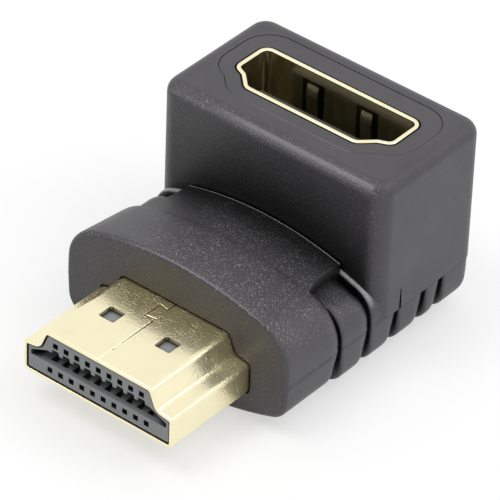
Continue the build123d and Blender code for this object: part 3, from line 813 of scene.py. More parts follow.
def moulding_material():
    """Soft black moulding with a spark-eroded stipple, smoother on its sides, with painted glints, highlights and
    shade in recesses.
    """
    name = "Soft black moulding"
    if name in bpy.data.materials:
        return bpy.data.materials[name]
    colours = bpy.context.scene.adapter_colours
    material, tree, shader, vector = material_start(name)
    base = place_group(tree, uneven_surface(), vector, {
        "Patches per Metre": 230.0, "Colour": with_alpha(colours.moulding), "Colour Change": 0.4,
        "Roughness": 0.42, "Roughness Change": 0.12,
    })
    grain = place_group(tree, eroded_grain(), vector, {"Pits per Metre": 5400.0, "Unevenness": 0.6})
    # zone sets the stipple's relief and painted glints; rim is a mask of painted highlight lines.
    zone, rim = stipple_zone(tree, vector)
    highlight_strength = 0.9
    # Painted glints on the stipple's crests.
    stippled = coloured_over(tree, base["Colour"], colours.painted_highlight, product(tree, grain["Crests"], zone))
    # Painted shade in the grooves, and in the hollow between the saddle and the socket block.
    grooves = painted_recess_shade(tree, reach=0.0007, own_only=False, span=(0.25, 0.85), darkest=0.15)
    hollow_shade = painted_recess_shade(tree, reach=0.014, own_only=True, span=(0.5, 0.95), darkest=0.06)
    painted_shade_colour = scaled(tree, stippled, product(tree, grooves, hollow_shade))
    # Painted highlight lines along the saddle's rear edge and the front block's front edge.
    highlighted_colour = coloured_over(tree, painted_shade_colour, colours.painted_highlight, product(tree, rim, highlight_strength))
    tree.links.new(highlighted_colour, shader["Base Color"])
    tree.links.new(base["Roughness"], shader["Roughness"])
    wavy = bump(tree, base["Height"], strength=0.25, distance=0.00006)
    relief = product(tree, grain["Height"], zone)
    tree.links.new(bump(tree, relief, strength=0.9, distance=0.00007, normal=wavy), shader["Normal"])
    shader["IOR"].default_value = 1.45
    return material


def gold_material():
    """Pale gold plating over folded sheet, duller near the moulding, where a painted darker tint stands in for its
    reflection.
    """
    name = "Gold plating"
    if name in bpy.data.materials:
        return bpy.data.materials[name]
    colours = bpy.context.scene.adapter_colours
    material, tree, shader, vector = material_start(name)
    base = place_group(tree, uneven_surface(), vector, {
        "Patches per Metre": 420.0, "Colour": with_alpha(colours.gold), "Colour Change": 0.1,
        "Roughness": 0.19, "Roughness Change": 0.12,
    })
    grain = place_group(tree, eroded_grain(), vector, {"Pits per Metre": 5200.0, "Unevenness": 0.6})
    dulling_range, end_range = (-0.0042, -0.0006), (0.0, 0.0005)  # along the plug, and behind its root
    reflection_tint_strength, dulling, least_grain = 0.8, 0.16, 0.15
    along = parts_of(tree, vector)["Y"]
    near_root = product(tree, map_range(tree, along, *dulling_range),
                      turned_round(tree, map_range(tree, along, *end_range)))
    # Painted reflection: a darker gold near the root stands in for the moulding's dark reflection.
    reflection_tint = coloured_over(tree, base["Colour"], colours.reflection_gold, product(tree, near_root, reflection_tint_strength))
    tree.links.new(reflection_tint, shader["Base Color"])
    tree.links.new(calculate(tree, "ADD", base["Roughness"], product(tree, near_root, dulling)), shader["Roughness"])
    wavy = bump(tree, base["Height"], strength=0.25, distance=0.00006)
    relief = product(tree, grain["Height"], blend_value(tree, least_grain, 1.0, near_root))
    tree.links.new(bump(tree, relief, strength=0.7, distance=0.00003, normal=wavy), shader["Normal"])
    shader["Metallic"].default_value = 1.0
    return material


def plastic_material(name, rgb, roughness):
    """Moulded insulator plastic with a fine grain, and painted shade in its recesses."""
    if name in bpy.data.materials:
        return bpy.data.materials[name]
    material, tree, shader, vector = material_start(name)
    base = place_group(tree, uneven_surface(), vector, {
        "Patches per Metre": 900.0, "Colour": with_alpha(rgb), "Colour Change": 0.25,
        "Roughness": roughness, "Roughness Change": 0.12,
    })
    grain = place_group(tree, eroded_grain(), vector, {"Pits per Metre": 9000.0, "Unevenness": 0.4})
    # Painted shade in the recesses.
    recesses = painted_recess_shade(tree, reach=0.0008, own_only=False, span=(0.4, 0.97), darkest=0.03)
    tree.links.new(scaled(tree, base["Colour"], recesses), shader["Base Color"])
    tree.links.new(base["Roughness"], shader["Roughness"])
    tree.links.new(bump(tree, grain["Height"], strength=0.3, distance=0.000012), shader["Normal"])
    return material


def contact_material():
    """Bright plating of the contact strips."""
    name = "Contact plating"
    if name in bpy.data.materials:
        return bpy.data.materials[name]
    colours = bpy.context.scene.adapter_colours
    material, tree, shader, vector = material_start(name)
    base = place_group(tree, uneven_surface(), vector, {
        "Patches per Metre": 1500.0, "Colour": with_alpha(colours.contact), "Colour Change": 0.2,
        "Roughness": 0.25, "Roughness Change": 0.1,
    })
    tree.links.new(base["Colour"], shader["Base Color"])
    tree.links.new(base["Roughness"], shader["Roughness"])
    tree.links.new(bump(tree, base["Height"], strength=0.2, distance=0.00001), shader["Normal"])
    shader["Metallic"].default_value = 1.0
    return material


def circle_through(a, b, c):
    """Centre and radius of the circle through three complex points."""
    w = (c - a) / (b - a)
    centre = (b - a) * (w - abs(w) ** 2) / (2j * w.imag) + a
    return centre, abs(a - centre)


def circles_meet(first, first_radius, second, second_radius):
    """The meeting point of two circles that lies furthest to +X."""
    gap = abs(second - first)
    along = (first_radius**2 - second_radius**2 + gap**2) / (2 * gap)
    across = sqrt(max(first_radius**2 - along**2, 0.0))
    way = (second - first) / gap
    return max((first + way * (along + side * 1j * across) for side in (-1, 1)), key=lambda p: p.real)


def sweep_points(centre, radius, start, end, steps):
    """Points of an arc from one angle to another."""
    return [centre + rect(radius, start + (end - start) * k / steps) for k in range(steps + 1)]


def side_circle(top, bottom):
    """Centre and radius of the outer moulding's bowed side, from the crown's end to the underside's."""
    b = bpy.context.scene.adapter_boot
    corner_half = b.half_width - b.side_bow
    crown = b.crown_radius - sqrt(b.crown_radius**2 - corner_half**2)
    return circle_through(
        complex(corner_half, top - crown), complex(b.half_width, b.parting), complex(corner_half, bottom + crown))


def boot_ring(y, top, corner, bottom, inset, side_inset):
    """Bowed section of the outer moulding at y, with a fine line of flash at the parting line."""
    b = bpy.context.scene.adapter_boot
    top_centre, bottom_centre = 1j * (top - b.crown_radius), 1j * (bottom + b.crown_radius)
    side_centre, side_radius = side_circle(top, bottom)
    upper = circles_meet(top_centre, b.crown_radius - corner, side_centre, side_radius - corner)
    lower = circles_meet(bottom_centre, b.crown_radius - b.bottom_corner, side_centre, side_radius - b.bottom_corner)
    upper_top, upper_side = phase(upper - top_centre), phase(upper - side_centre)
    lower_bottom, lower_side = phase(lower - bottom_centre), phase(lower - side_centre)
    right = sweep_points(top_centre, b.crown_radius - inset, pi / 2, upper_top, CROWN_STEPS)
    for k in range(CORNER_STEPS + 1):
        share = k / CORNER_STEPS
        local = inset + (side_inset - inset) * share
        right.append(upper + rect(corner - local, upper_top + (upper_side - upper_top) * share))
    parting_angle = (b.parting - side_centre.imag) / side_radius
    reach = side_radius - side_inset
    flash_top = parting_angle + FLASH_ABOVE * b.flash / side_radius
    right += sweep_points(side_centre, reach, upper_side, flash_top, SIDE_STEPS)
    for turn, proud in FLASH_PROFILE:
        right.append(side_centre + rect(reach + proud * b.flash, parting_angle + turn * b.flash / side_radius))
    start = parting_angle - FLASH_BELOW * b.flash / side_radius
    for k in range(SIDE_STEPS + 1):
        share = k / SIDE_STEPS
        local = side_inset + (inset - side_inset) * share**LOWER_SIDE_EASE
        right.append(side_centre + rect(side_radius - local, start + (lower_side - start) * share))
    right += sweep_points(lower, b.bottom_corner - inset, lower_side, lower_bottom, LOWER_CORNER_STEPS)
    right += sweep_points(bottom_centre, b.crown_radius - inset, lower_bottom, -pi / 2, CROWN_STEPS)
    ring = right + [-p.conjugate() for p in right[-2:0:-1]]
    return [Vector((p.real, y, max(p.imag, b.rest))) for p in ring]


def crown_height(x, top, corner):
    """Height of the outer moulding's upper outline at x: the crown, then the corner."""
    b = bpy.context.scene.adapter_boot
    top_centre = 1j * (top - b.crown_radius)
    side_centre, side_radius = side_circle(top, b.bottom)
    upper = circles_meet(top_centre, b.crown_radius - corner, side_centre, side_radius - corner)
    corner_start = top_centre + rect(b.crown_radius, phase(upper - top_centre))
    if x <= corner_start.real:
        return top - b.crown_radius + sqrt(b.crown_radius**2 - x**2)
    return upper.imag + sqrt(max(corner**2 - (x - upper.real) ** 2, 0.0))


def front_corner_at(y):
    """Upper corner radius of the front block and saddle, which grows to the rear."""
    b = bpy.context.scene.adapter_boot
    return b.front_corner + (b.back_corner - b.front_corner) * y / (b.block_front + SADDLE_OVERLAP)


def rib_starts():
    """Where each rib starts behind the front face, and where the last one ends."""
    b = bpy.context.scene.adapter_boot
    end = b.block_rear - b.block_step
    starts = [end - b.last_rib - sum(b.rib_lengths[i:]) for i in range(len(b.rib_lengths) + 1)]
    return starts + [end]


def boot_front():
    """Front block: crowned, tapered to the rear, with a rounded front and rear edge."""
    b = bpy.context.scene.adapter_boot
    end = rib_starts()[0]
    stations = [(y, inset, inset) for y, inset in quarter(b.front_edge)]
    for k in range(1, FRONT_STEPS):
        stations.append((b.front_edge + (end - b.rib_rear_edge - b.front_edge) * k / FRONT_STEPS, 0.0, 0.0))
    stations += [(y, inset, inset * b.side_share) for y, inset in rear_rounding(end, b.rib_rear_edge)]
    buried = b.groove_depth + b.saddle_edge
    stations.append((end + b.rib_front_edge, buried, buried * b.side_share))
    rings = [boot_ring(y, b.front_top - b.slope * y, front_corner_at(y), b.bottom, inset, side_inset)
             for y, inset, side_inset in stations]
    return skin("boot_front", rings)


def rear_rounding(end, radius):
    """(place, inset) pairs over a bead's rounded rear, down to the floor of the groove behind it."""
    b = bpy.context.scene.adapter_boot
    depth = min(b.groove_depth, radius)
    last = asin(1 - depth / radius)
    angles = [pi / 2 + (last - pi / 2) * k / BEAD_STEPS for k in range(BEAD_STEPS + 1)]
    return [(end - radius * (1 - cos(a)), radius * (1 - sin(a))) for a in angles]


class ADAPTER_OT_boot(bpy.types.Operator):
    """Builds the outer moulding"""

    bl_idname = "adapter.boot"
    bl_label = "Outer moulding"

    def execute(self, context):
        piece = boot_front()
        combine(piece, [neck(), saddle(), socket_block()], "UNION")
        combine(piece, openings(), "DIFFERENCE")
        piece.name = "outer_boot"
        shade(piece, moulding_material())
        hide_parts("overmould")
        return {"FINISHED"}


def neck():
    """Ribbed neck: one skin whose inset follows the beads, which overlap like shingles."""
    b = bpy.context.scene.adapter_boot
    starts = rib_starts()
    top = b.front_top - b.slope * starts[1] - b.rib_top_drop
    stations = [(starts[0] - b.rib_rear_edge / 2, b.groove_depth, b.side_share)]
    for start, end in zip(starts, starts[1:]):
        stations.append((start, b.groove_depth, b.side_share))
        stations += [(start + d, inset, b.side_share) for d, inset in quarter(b.rib_front_edge)]
        if end == starts[-1]:
            stations += [(end - d, inset, 1.0) for d, inset in reversed(quarter(b.block_corner, BEAD_STEPS))]
        else:
            stations += [(y, inset, b.side_share) for y, inset in rear_rounding(end, b.rib_rear_edge)]
    bottom = b.bottom - b.rib_bottom_drop
    return skin("neck", [boot_ring(y, top, b.rear_corner, bottom, inset, inset * share)
                         for y, inset, share in stations])


def saddle():
    """Saddle: the front block's crown run back between two low walls, rounded along its edges."""
    b = bpy.context.scene.adapter_boot
    first_groove = rib_starts()[0]
    outline = folded([
        complex(first_groove - b.flare_start, b.saddle_half + b.saddle_flare),
        complex(first_groove + b.flare_end, b.saddle_half),
        complex(b.block_front - b.saddle_gap, b.saddle_half + b.saddle_spread),
    ], [b.flare_radius], steps=FLARE_STEPS)
    first, last = outline[0], outline[-1]
    lead = [first + (outline[1] - first) * k / LEAD_STEPS for k in range(LEAD_STEPS)]
    tail = [outline[-2] + (last - outline[-2]) * k / TAIL_STEPS for k in range(1, TAIL_STEPS)]
    rings = [saddle_ring(place.real, place.imag, 0.0) for place in lead + outline[1:-1] + tail]
    for distance, inset in reversed(quarter(b.saddle_edge, SADDLE_EDGE_STEPS)):
        rings.append(saddle_ring(last.real - distance, last.imag, inset))
    return skin("saddle", rings)


def saddle_ring(y, half, inset):
    """Section of the saddle at y: the crown's outline, rounded edges and upright walls."""
    b = bpy.context.scene.adapter_boot
    top, corner = b.front_top - b.slope * y - b.saddle_step, front_corner_at(y)
    half -= inset
    flat_half = half - b.saddle_edge
    right = []
    for k in range(SADDLE_TOP_STEPS + 1):
        x = flat_half * k / SADDLE_TOP_STEPS
        right.append(complex(x, crown_height(x, top, corner) - inset))
    edge_centre = right[-1] - 1j * b.saddle_edge
    right += sweep_points(edge_centre, b.saddle_edge, pi / 2, 0.0, SADDLE_EDGE_STEPS)[1:]
    right.append(complex(half, b.saddle_foot))
    left = [-p.conjugate() for p in right[:0:-1]]
    return [Vector((p.real, y, p.imag)) for p in right + left]


def socket_block():
    """Socket block: upright, with rounded corners and top edge."""
    b = bpy.context.scene.adapter_boot
    half = b.half_width + b.block_step
    half_depth = (b.block_rear - b.block_front) / 2
    middle = (b.block_rear + b.block_front) / 2
    rings = [facing_up(box_outline(half, half_depth, b.block_corner), b.parting, middle)]
    for distance, inset in reversed(quarter(b.block_edge, BLOCK_EDGE_STEPS)):
        outline = box_outline(half, half_depth, b.block_corner, -inset)
        rings.append(facing_up(outline, b.block_top - distance, middle))
    return skin("socket_block", rings)


def openings():
    """What is cut out of the outer moulding: both openings, the inner moulding and two fading grooves."""
    b = bpy.context.scene.adapter_boot
    over = b.shell_relief
    plug_reach = (-over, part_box("inner_mould")[0].y + over)
    plug_hole = skin("plug_hole", [facing_front(plug_outline(b.shell_relief), y) for y in plug_reach])
    cavity = inner_body("cavity")
    collar = collar_prisms(foot=0.0, top=b.block_top + over, grow=b.collar_gap)
    grooves = [fading_groove(side) for side in (-1, 1)]
    return [plug_hole, cavity] + collar + grooves


def inner_body(name):
    """Inner moulding's body under the surface, a rounded block."""
    b = bpy.context.scene.adapter_boot
    low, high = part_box("inner_mould")
    middle, half_height = (b.cavity_roof + low.z) / 2, (b.cavity_roof - low.z) / 2
    outline = [p + 1j * middle for p in box_outline(high.x, half_height, b.cavity_corner)]
    return skin(name, [facing_front(outline, y) for y in (low.y, high.y)])


def fading_groove(side):
    """Cutter that runs the third groove up over the parting line and lets it die out."""
    b = bpy.context.scene.adapter_boot
    centre_x, y = side * (b.half_width + b.block_step), rib_starts()[2]
    rings = []
    for k in range(FADING_STEPS + 1):
        share = k / FADING_STEPS
        depth = b.fading_depth + (b.fading_tip - b.fading_depth) * share
        half = b.fading_half + (b.fading_tip - b.fading_half) * share
        height = b.parting - b.fading_half + (b.fading_height + b.fading_half) * share
        turns = [2 * pi * i / FADING_ROUND_STEPS for i in range(FADING_ROUND_STEPS)]
        rings.append([Vector((centre_x + depth * cos(turn), y + half * sin(turn), height)) for turn in turns])
    return skin("fading_groove", rings)


def collar_prisms(foot, top, grow, edge=0.0):
    """Two prisms that together are the inner moulding's collar: the socket's outline grown by its wall."""
    b, s, c = (getattr(bpy.context.scene, name) for name in ("adapter_boot", "adapter_socket", "adapter_connector"))
    grow += s.mating_gap + s.sheet + b.collar_wall
    half, rise = c.width / 2, c.height / 2
    shoulder, narrow = half - c.socket_shoulder_inset, half - c.narrow_inset
    roof = half - (rise - c.socket_side_rise) * c.socket_shoulder_inset / (c.socket_shoulder_rise - c.socket_side_rise)
    wide = [complex(-half, -rise), complex(half, -rise), complex(half, c.socket_side_rise), complex(roof, rise),
            complex(-roof, rise), complex(-half, c.socket_side_rise)]
    wide_radii = [c.wide_corner, c.wide_corner, c.shoulder_corner, SHARP, SHARP, c.shoulder_corner]
    slim = [complex(-shoulder, c.socket_shoulder_rise), complex(shoulder, c.socket_shoulder_rise),
            complex(narrow, rise), complex(-narrow, rise)]
    slim_radii = [SHARP, SHARP, c.narrow_corner, c.narrow_corner]
    axis = s.axis_y + b.collar_shift
    levels = [(foot, 0.0), (top, 0.0)] if not edge else [(foot, 0.0), (top - edge, 0.0), (top, edge)]
    prisms = []
    for corners, radii in ((wide, wide_radii), (slim, slim_radii)):
        rings = [[Vector((p.real, axis - p.imag, z)) for p in rounded(corners, radii, grow - inset)]
                 for z, inset in levels]
        prisms.append(skin("collar", rings))
    return prisms


class ADAPTER_OT_inner_moulding(bpy.types.Operator):
    """Builds the inner moulding, whose collar shows round the socket"""

    bl_idname = "adapter.inner_moulding"
    bl_label = "Inner moulding"

    def execute(self, context):
        b, s = context.scene.adapter_boot, context.scene.adapter_socket
        front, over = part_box("inner_mould")[0].y, b.shell_relief
        piece = inner_body("body")
        combine(piece, collar_prisms(foot=0.0, top=b.block_top, grow=0.0, edge=b.collar_edge), "UNION")
        shell, relief_foot = s.mating_gap + s.sheet, b.block_top - b.relief_depth
        relief_range = (relief_foot, b.block_top + over)
        cuts = [
            skin("plug_root", [facing_front(plug_outline(0.0), y) for y in (front - over, PLUG_HIGH.y)]),
            skin("well", [socket_ring(shell, z) for z in (s.foot, relief_foot)]),
            skin("relief", [socket_ring(shell + b.shell_relief, z) for z in relief_range]),
        ]
        combine(piece, cuts, "DIFFERENCE")
        piece.name = "inner_moulding_collar"
        shade(piece, moulding_material())
        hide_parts("inner_mould")
        return {"FINISHED"}


def seam_cutter():
    """Cutter for the keyed butt seam: narrow through the sheet, opened out by its rolled edges."""
    p, c = bpy.context.scene.adapter_plug, bpy.context.scene.adapter_connector
    root, tip = PLUG_HIGH.y + p.sheet, PLUG_LOW.y - p.sheet
    key_end = -p.key_start - p.key_length
    path = [complex(0, root), complex(0, -p.key_start), complex(-p.key_depth, -p.key_start + p.key_taper),
            complex(-p.key_depth, key_end - p.key_taper), complex(0, key_end), complex(0, tip)]
    top = c.height / 2
    profile = ((-2 * p.sheet, 0.0), (-p.seam_roll, 0.0), (0.0, p.seam_flare), (p.seam_roll, 2 * p.seam_flare))
    rings = []
    for height, flare in profile:
        sides = []
        for side in (1, -1):
            edge = []
            for i, place in enumerate(path):
                before = unit(place - path[i - 1]) if i else unit(path[1] - place)
                after = unit(path[i + 1] - place) if i + 1 < len(path) else before
                share = 1.0 if i + 1 < len(path) else p.seam_tip_share
                reach = (p.seam_width / 2 + flare) * share
                edge.append(place + side * 1j * reach * (before + after) / (1 + (after / before).real))
            sides.append(edge)
        rings.append([Vector((q.real, q.imag, top + height)) for q in sides[0] + sides[1][::-1]])
    return skin("seam", rings)


def pit_cutter():
    """Cutter for the small round punch mark beside the seam."""
    p, c = bpy.context.scene.adapter_plug, bpy.context.scene.adapter_connector
    centre = Vector((p.pit_shift, -p.pit_setback, c.height / 2))
    turns = [2 * pi * k / PIT_STEPS for k in range(PIT_STEPS)]
    profile = ((-p.sheet / 2, 0.5), (-p.sheet / 3, 0.9), (0.0, 1.0), (p.sheet / 4, 1.2))  # (height, share of radius)
    rings = []
    for height, share in profile:
        radius = share * p.pit_radius
        rings.append([centre + Vector((radius * cos(turn), radius * sin(turn), height)) for turn in turns])
    return skin("pit", rings)


class ADAPTER_OT_plug_shell(bpy.types.Operator):
    """Builds the plug's folded gold shell"""

    bl_idname = "adapter.plug_shell"
    bl_label = "Plug shell"

    def execute(self, context):
        p, c = context.scene.adapter_plug, context.scene.adapter_connector
        tip, root = PLUG_LOW.y, PLUG_HIGH.y
        rings = [facing_front(plug_outline(-inset), tip + d) for d, inset in quarter(p.tip_radius)]
        rings.append(facing_front(plug_outline(0.0), root))
        rings.append(facing_front(plug_outline(-p.sheet), root))
        inner_edge = 0.00005
        for d, inset in reversed(quarter(inner_edge, SMALL_EDGE_STEPS)):
            rings.append(facing_front(plug_outline(-p.sheet + inset), tip + d))
        piece = skin("plug_shell_gold", rings, closed=True)
        top = c.height / 2
        holes = []
        for side in (-1, 1):
            outline = box_outline(p.window / 2, p.window / 2, p.window_corner)
            flat = [Vector((side * p.window_spacing / 2 + q.real, q.imag - p.window_setback, 0)) for q in outline]
            holes.append(skin("window", [[v + Vector((0, 0, z)) for v in flat]
                                         for z in (top - 2 * p.sheet, top + p.sheet)]))
        combine(piece, holes + [seam_cutter(), pit_cutter()], "DIFFERENCE")
        shade(piece, gold_material())
        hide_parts("plug_shell")
        return {"FINISHED"}


class ADAPTER_OT_plug_insulator(bpy.types.Operator):
    """Builds the plug's grey insulator with its slot, scallops, holes and channels"""

    bl_idname = "adapter.plug_insulator"
    bl_label = "Plug insulator"

    def execute(self, context):
        p, c = context.scene.adapter_plug, context.scene.adapter_connector
        colours = context.scene.adapter_colours
        face = PLUG_LOW.y + p.insulator_recess
        grow = -p.sheet - p.insulator_gap
        rings = [facing_front(plug_outline(grow - p.insulator_edge), face)]
        rings += [facing_front(plug_outline(grow), y) for y in (face + p.insulator_edge, p.insulator_root)]
        piece = skin("plug_insulator_grey", rings)
        half = c.width / 2 - p.slot_end_inset
        lobe = c.width / 2 - p.slot_lobe_inset
        over, slot_corner, hole_corner, channel_corner = 0.0002, 0.00008, 0.00005, 0.00004
        scallop_round = 0.45  # corner radius, as a share of the rise
        slot = rounded([
            complex(-half, p.slot_wide_side), complex(half, p.slot_wide_side), complex(half, p.slot_end_rise),
            complex(lobe, p.slot_narrow_side), complex(-lobe, p.slot_narrow_side), complex(-half, p.slot_end_rise),
        ], [slot_corner] * 6, steps=SMALL_EDGE_STEPS)
        cuts = [skin("slot", [facing_front(slot, y) for y in (face - over, -p.slot_floor)])]
        rise = p.scallop_rise - p.slot_narrow_side
        wall_rear = face + p.front_wall
        front_range = (face - over, wall_rear + over / 2)
        channel_range = (wall_rear, -p.slot_floor)
        hole = box_outline(p.hole / 2, p.hole / 2, hole_corner)
        scallop = box_outline(p.scallop_width / 2, rise, rise * scallop_round)
        channel = box_outline(p.channel_width / 2, p.channel_offset / 2, channel_corner)
        for side, count in ((-1, c.wide_count), (1, c.narrow_count)):
            cuts.append(cutters("holes", hole, front_range, side * p.hole_offset, count, c.pitch))
            cuts.append(cutters("channels", channel, channel_range, side * p.channel_offset / 2, count, c.pitch))
        cuts.append(cutters("scallops", scallop, front_range, p.slot_narrow_side, c.narrow_count, c.pitch))
        combine(piece, cuts, "DIFFERENCE")
        shade(piece, plastic_material("Grey insulator", colours.insulator, roughness=0.5))
        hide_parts("plug_insulator")
        return {"FINISHED"}


class ADAPTER_OT_plug_contacts(bpy.types.Operator):
    """Builds both rows of the plug's sprung contacts"""

    bl_idname = "adapter.plug_contacts"
    bl_label = "Plug contacts"

    def execute(self, context):
        p, c = context.scene.adapter_plug, context.scene.adapter_connector
        tip = PLUG_LOW.y + p.insulator_recess + p.front_wall + p.contact_tip
        root = PLUG_HIGH.y + p.contact_root
        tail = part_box("circuit_board")[1].z + c.contact_sheet / 2
        rows = []
        for side, count, slot_side in ((-1, c.wide_count, p.slot_wide_side), (1, c.narrow_count, p.slot_narrow_side)):
            bend = slot_side + side * (c.contact_sheet / 2 - p.contact_proud)
            path = folded([
                complex(tip, side * p.hole_offset), complex(tip + p.contact_bend, bend),
                complex(tip + p.contact_rise, side * p.contact_run),
                complex(p.insulator_root - p.step_start, side * p.contact_run),
                complex(p.insulator_root - p.step_end, side * tail), complex(root, side * tail),
            ], [p.spring_bend, p.spring_bend, p.step_bend, p.step_bend])
            rows.append(strips("row", path, count, c.pitch, c.contact_width, c.contact_sheet, contact_material()))
        piece = join("plug_contacts_rows", rows)
        shade(piece, contact_material())
        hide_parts(*[f"plug_contact_{i:02d}" for i in range(1, c.wide_count + c.narrow_count + 1)])
        return {"FINISHED"}


class ADAPTER_OT_socket_shell(bpy.types.Operator):
    """Builds the socket's gold shell with its four springs and four legs"""

    bl_idname = "adapter.socket_shell"
    bl_label = "Socket shell"

    def execute(self, context):
        s, c = context.scene.adapter_socket, context.scene.adapter_connector
        outside, inside = s.mating_gap + s.sheet, s.mating_gap
        rings = [socket_ring(outside, s.foot)]
        rings += [socket_ring(outside - inset, s.rim - d) for d, inset in reversed(quarter(s.rim_radius))]
        rings += [socket_ring(inside + inset, s.rim - d) for d, inset in quarter(s.rim_radius)]
        rings.append(socket_ring(inside, s.foot))
        piece = skin("socket_shell_gold", rings, closed=True)
        centre = s.rim - s.spring_top - s.spring_length / 2
        cut_corner = 0.0001
        outline = box_outline(s.spring_width / 2 + s.spring_slit, s.spring_length / 2, cut_corner)
        reach = c.height / 2 + 2 * outside
        cut = cutters("slots", outline, (s.axis_y - reach, s.axis_y + reach), centre, 2, s.spring_spacing)
        combine(piece, [cut], "DIFFERENCE")
        parts = [piece]
        foot = centre - s.spring_length / 2
        wall = c.height / 2 + s.mating_gap + s.sheet / 2
        for side in (-1, 1):
            wall_y = s.axis_y + side * wall
            path = folded([
                complex(wall_y, foot - s.spring_sheet), complex(wall_y, foot + s.spring_root),
                complex(wall_y - side * s.spring_press, foot + s.spring_length - s.spring_bump),
                complex(wall_y - side * s.spring_tip_press, foot + s.spring_length - s.spring_slit / 2),
            ], [s.spring_root_bend, s.spring_bump_bend])
            parts.append(strips("springs", path, 2, s.spring_spacing, s.spring_width, s.spring_sheet, gold_material()))
        leg_path = [complex(s.axis_y + wall, s.foot + s.sheet), complex(s.axis_y + wall, SOCKET_LOW.z)]
        parts.append(strips("legs", leg_path, 2, c.width - s.leg_inset, s.leg_width, s.sheet, gold_material()))
        side_y = s.axis_y + (c.height / 2 - c.socket_side_rise) / 2
        side_path = [complex(side_y, s.foot + s.sheet), complex(side_y, SOCKET_LOW.z)]
        side_spacing = c.width + 2 * s.mating_gap + s.sheet
        parts.append(strips("side_legs", side_path, 2, side_spacing, s.sheet, s.leg_width, gold_material()))
        piece = join("socket_shell_sprung", parts)
        shade(piece, gold_material())
        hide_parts("socket_shell")
        return {"FINISHED"}


def tongue_section():
    """Y of the tongue's middle, and half its thickness."""
    s, p = bpy.context.scene.adapter_socket, bpy.context.scene.adapter_plug
    middle = s.axis_y - (p.slot_wide_side + p.slot_narrow_side) / 2
    return middle, (p.slot_narrow_side - p.slot_wide_side) / 2 - s.tongue_gap


class ADAPTER_OT_socket_insulator(bpy.types.Operator):
    """Builds the socket's black insulator and its tongue"""

    bl_idname = "adapter.socket_insulator"
    bl_label = "Socket insulator"

    def execute(self, context):
        s, c, p = context.scene.adapter_socket, context.scene.adapter_connector, context.scene.adapter_plug
        colours = context.scene.adapter_colours
        base = skin("socket_insulator_black", [socket_ring(s.mating_gap, z) for z in (s.base_foot, s.base_top)])
        middle, thick = tongue_section()
        half = c.width / 2 - p.slot_end_inset - s.tongue_end_gap
        chamfer, corner = 0.00015, 0.00008
        levels = ((s.base_foot, 0.0), (s.tongue_top - chamfer, 0.0), (s.tongue_top, chamfer))
        rings = [facing_up(box_outline(half, thick, corner, -inset), z, middle) for z, inset in levels]
        combine(base, [skin("tongue", rings)], "UNION")
        shade(base, plastic_material("Black insulator", colours.tongue, roughness=0.4))
        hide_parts("socket_insulator")
        return {"FINISHED"}


class ADAPTER_OT_socket_contacts(bpy.types.Operator):
    """Builds both rows of blades in the tongue's faces"""

    bl_idname = "adapter.socket_contacts"
    bl_label = "Socket contacts"

    def execute(self, context):
        s, c = context.scene.adapter_socket, context.scene.adapter_connector
        middle, thick = tongue_section()
        offset = thick + s.contact_proud - c.contact_sheet / 2
        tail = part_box("circuit_board")[1].z + c.contact_sheet / 2
        rows = []
        for side, count in ((1, c.wide_count), (-1, c.narrow_count)):
            y = middle + side * offset
            path = folded([complex(y, s.tongue_top - s.contact_recess), complex(y, tail),
                           complex(y + side * s.tail, tail)], [s.tail_bend])
            rows.append(strips("row", path, count, c.pitch, c.contact_width, c.contact_sheet, contact_material()))
        piece = join("socket_contacts_rows", rows)
        shade(piece, contact_material())
        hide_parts(*[f"socket_contact_{i:02d}" for i in range(1, c.wide_count + c.narrow_count + 1)])
        return {"FINISHED"}


class ADAPTER_OT_board(bpy.types.Operator):
    """Finishes the circuit board"""

    bl_idname = "adapter.board"
    bl_label = "Circuit board"

    def execute(self, context):
        colours = context.scene.adapter_colours
        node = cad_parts["circuit_board"]
        node.data.materials.clear()
        node.data.materials.append(plastic_material("Solder mask", colours.board, roughness=0.3))
        return {"FINISHED"}


def floor_material():
    """Pale floor that keeps the object's shadow and reads as white to the camera."""
    colours = bpy.context.scene.adapter_colours
    material, tree, shader, vector = material_start("Pale floor")
    base = place_group(tree, uneven_surface(), vector, {
        "Patches per Metre": 4.0, "Colour": with_alpha(colours.floor), "Colour Change": 0.02,
        "Roughness": 0.9, "Roughness Change": 0.05,
    })
    tree.links.new(base["Colour"], shader["Base Color"])
    tree.links.new(base["Roughness"], shader["Roughness"])
    whitening = 0.55
    white = tree.nodes.new("ShaderNodeEmission")
    blend = tree.nodes.new("ShaderNodeMixShader")
    tree.links.new(product(tree, seen_directly(tree), whitening), blend.inputs["Fac"])
    tree.links.new(tree.nodes["Principled BSDF"].outputs["BSDF"], blend.inputs[1])
    tree.links.new(white.outputs["Emission"], blend.inputs[2])
    tree.links.new(blend.outputs["Shader"], tree.nodes["Material Output"].inputs["Surface"])
    return material


def studio_world():
    """Soft surroundings, bright above and behind and dim in front, but white to the camera and in metal."""
    bright_side, bright_range, dim_level = (0.3, 0.8, 0.52), (-0.35, 0.2), 0.07
    world = bpy.data.worlds.new("studio")
    world.use_nodes = True
    tree = world.node_tree
    background = tree.nodes["Background"]
    background.inputs["Color"].default_value = (1.0, 1.0, 1.0, 1.0)
    coordinates = tree.nodes.new("ShaderNodeTexCoord")
    towards = tree.nodes.new("ShaderNodeVectorMath")
    towards.operation = "DOT_PRODUCT"
    tree.links.new(coordinates.outputs["Generated"], towards.inputs[0])
    towards.inputs[1].default_value = bright_side
    bright = map_range(tree, towards.outputs["Value"], *bright_range)
    level = blend_value(tree, dim_level, 1.0, bright)
    tree.links.new(blend_value(tree, level, 1.0, seen_directly(tree)), background.inputs["Strength"])
    return world


def seen_directly(tree):
    """1 for what the camera sees, also in metal and through openings, and 0 for light that falls on things."""
    path = tree.nodes.new("ShaderNodeLightPath")
    in_metal = calculate(tree, "MAXIMUM", path.outputs["Is Glossy Ray"], path.outputs["Is Transmission Ray"])
    return calculate(tree, "MAXIMUM", path.outputs["Is Camera Ray"], in_metal)


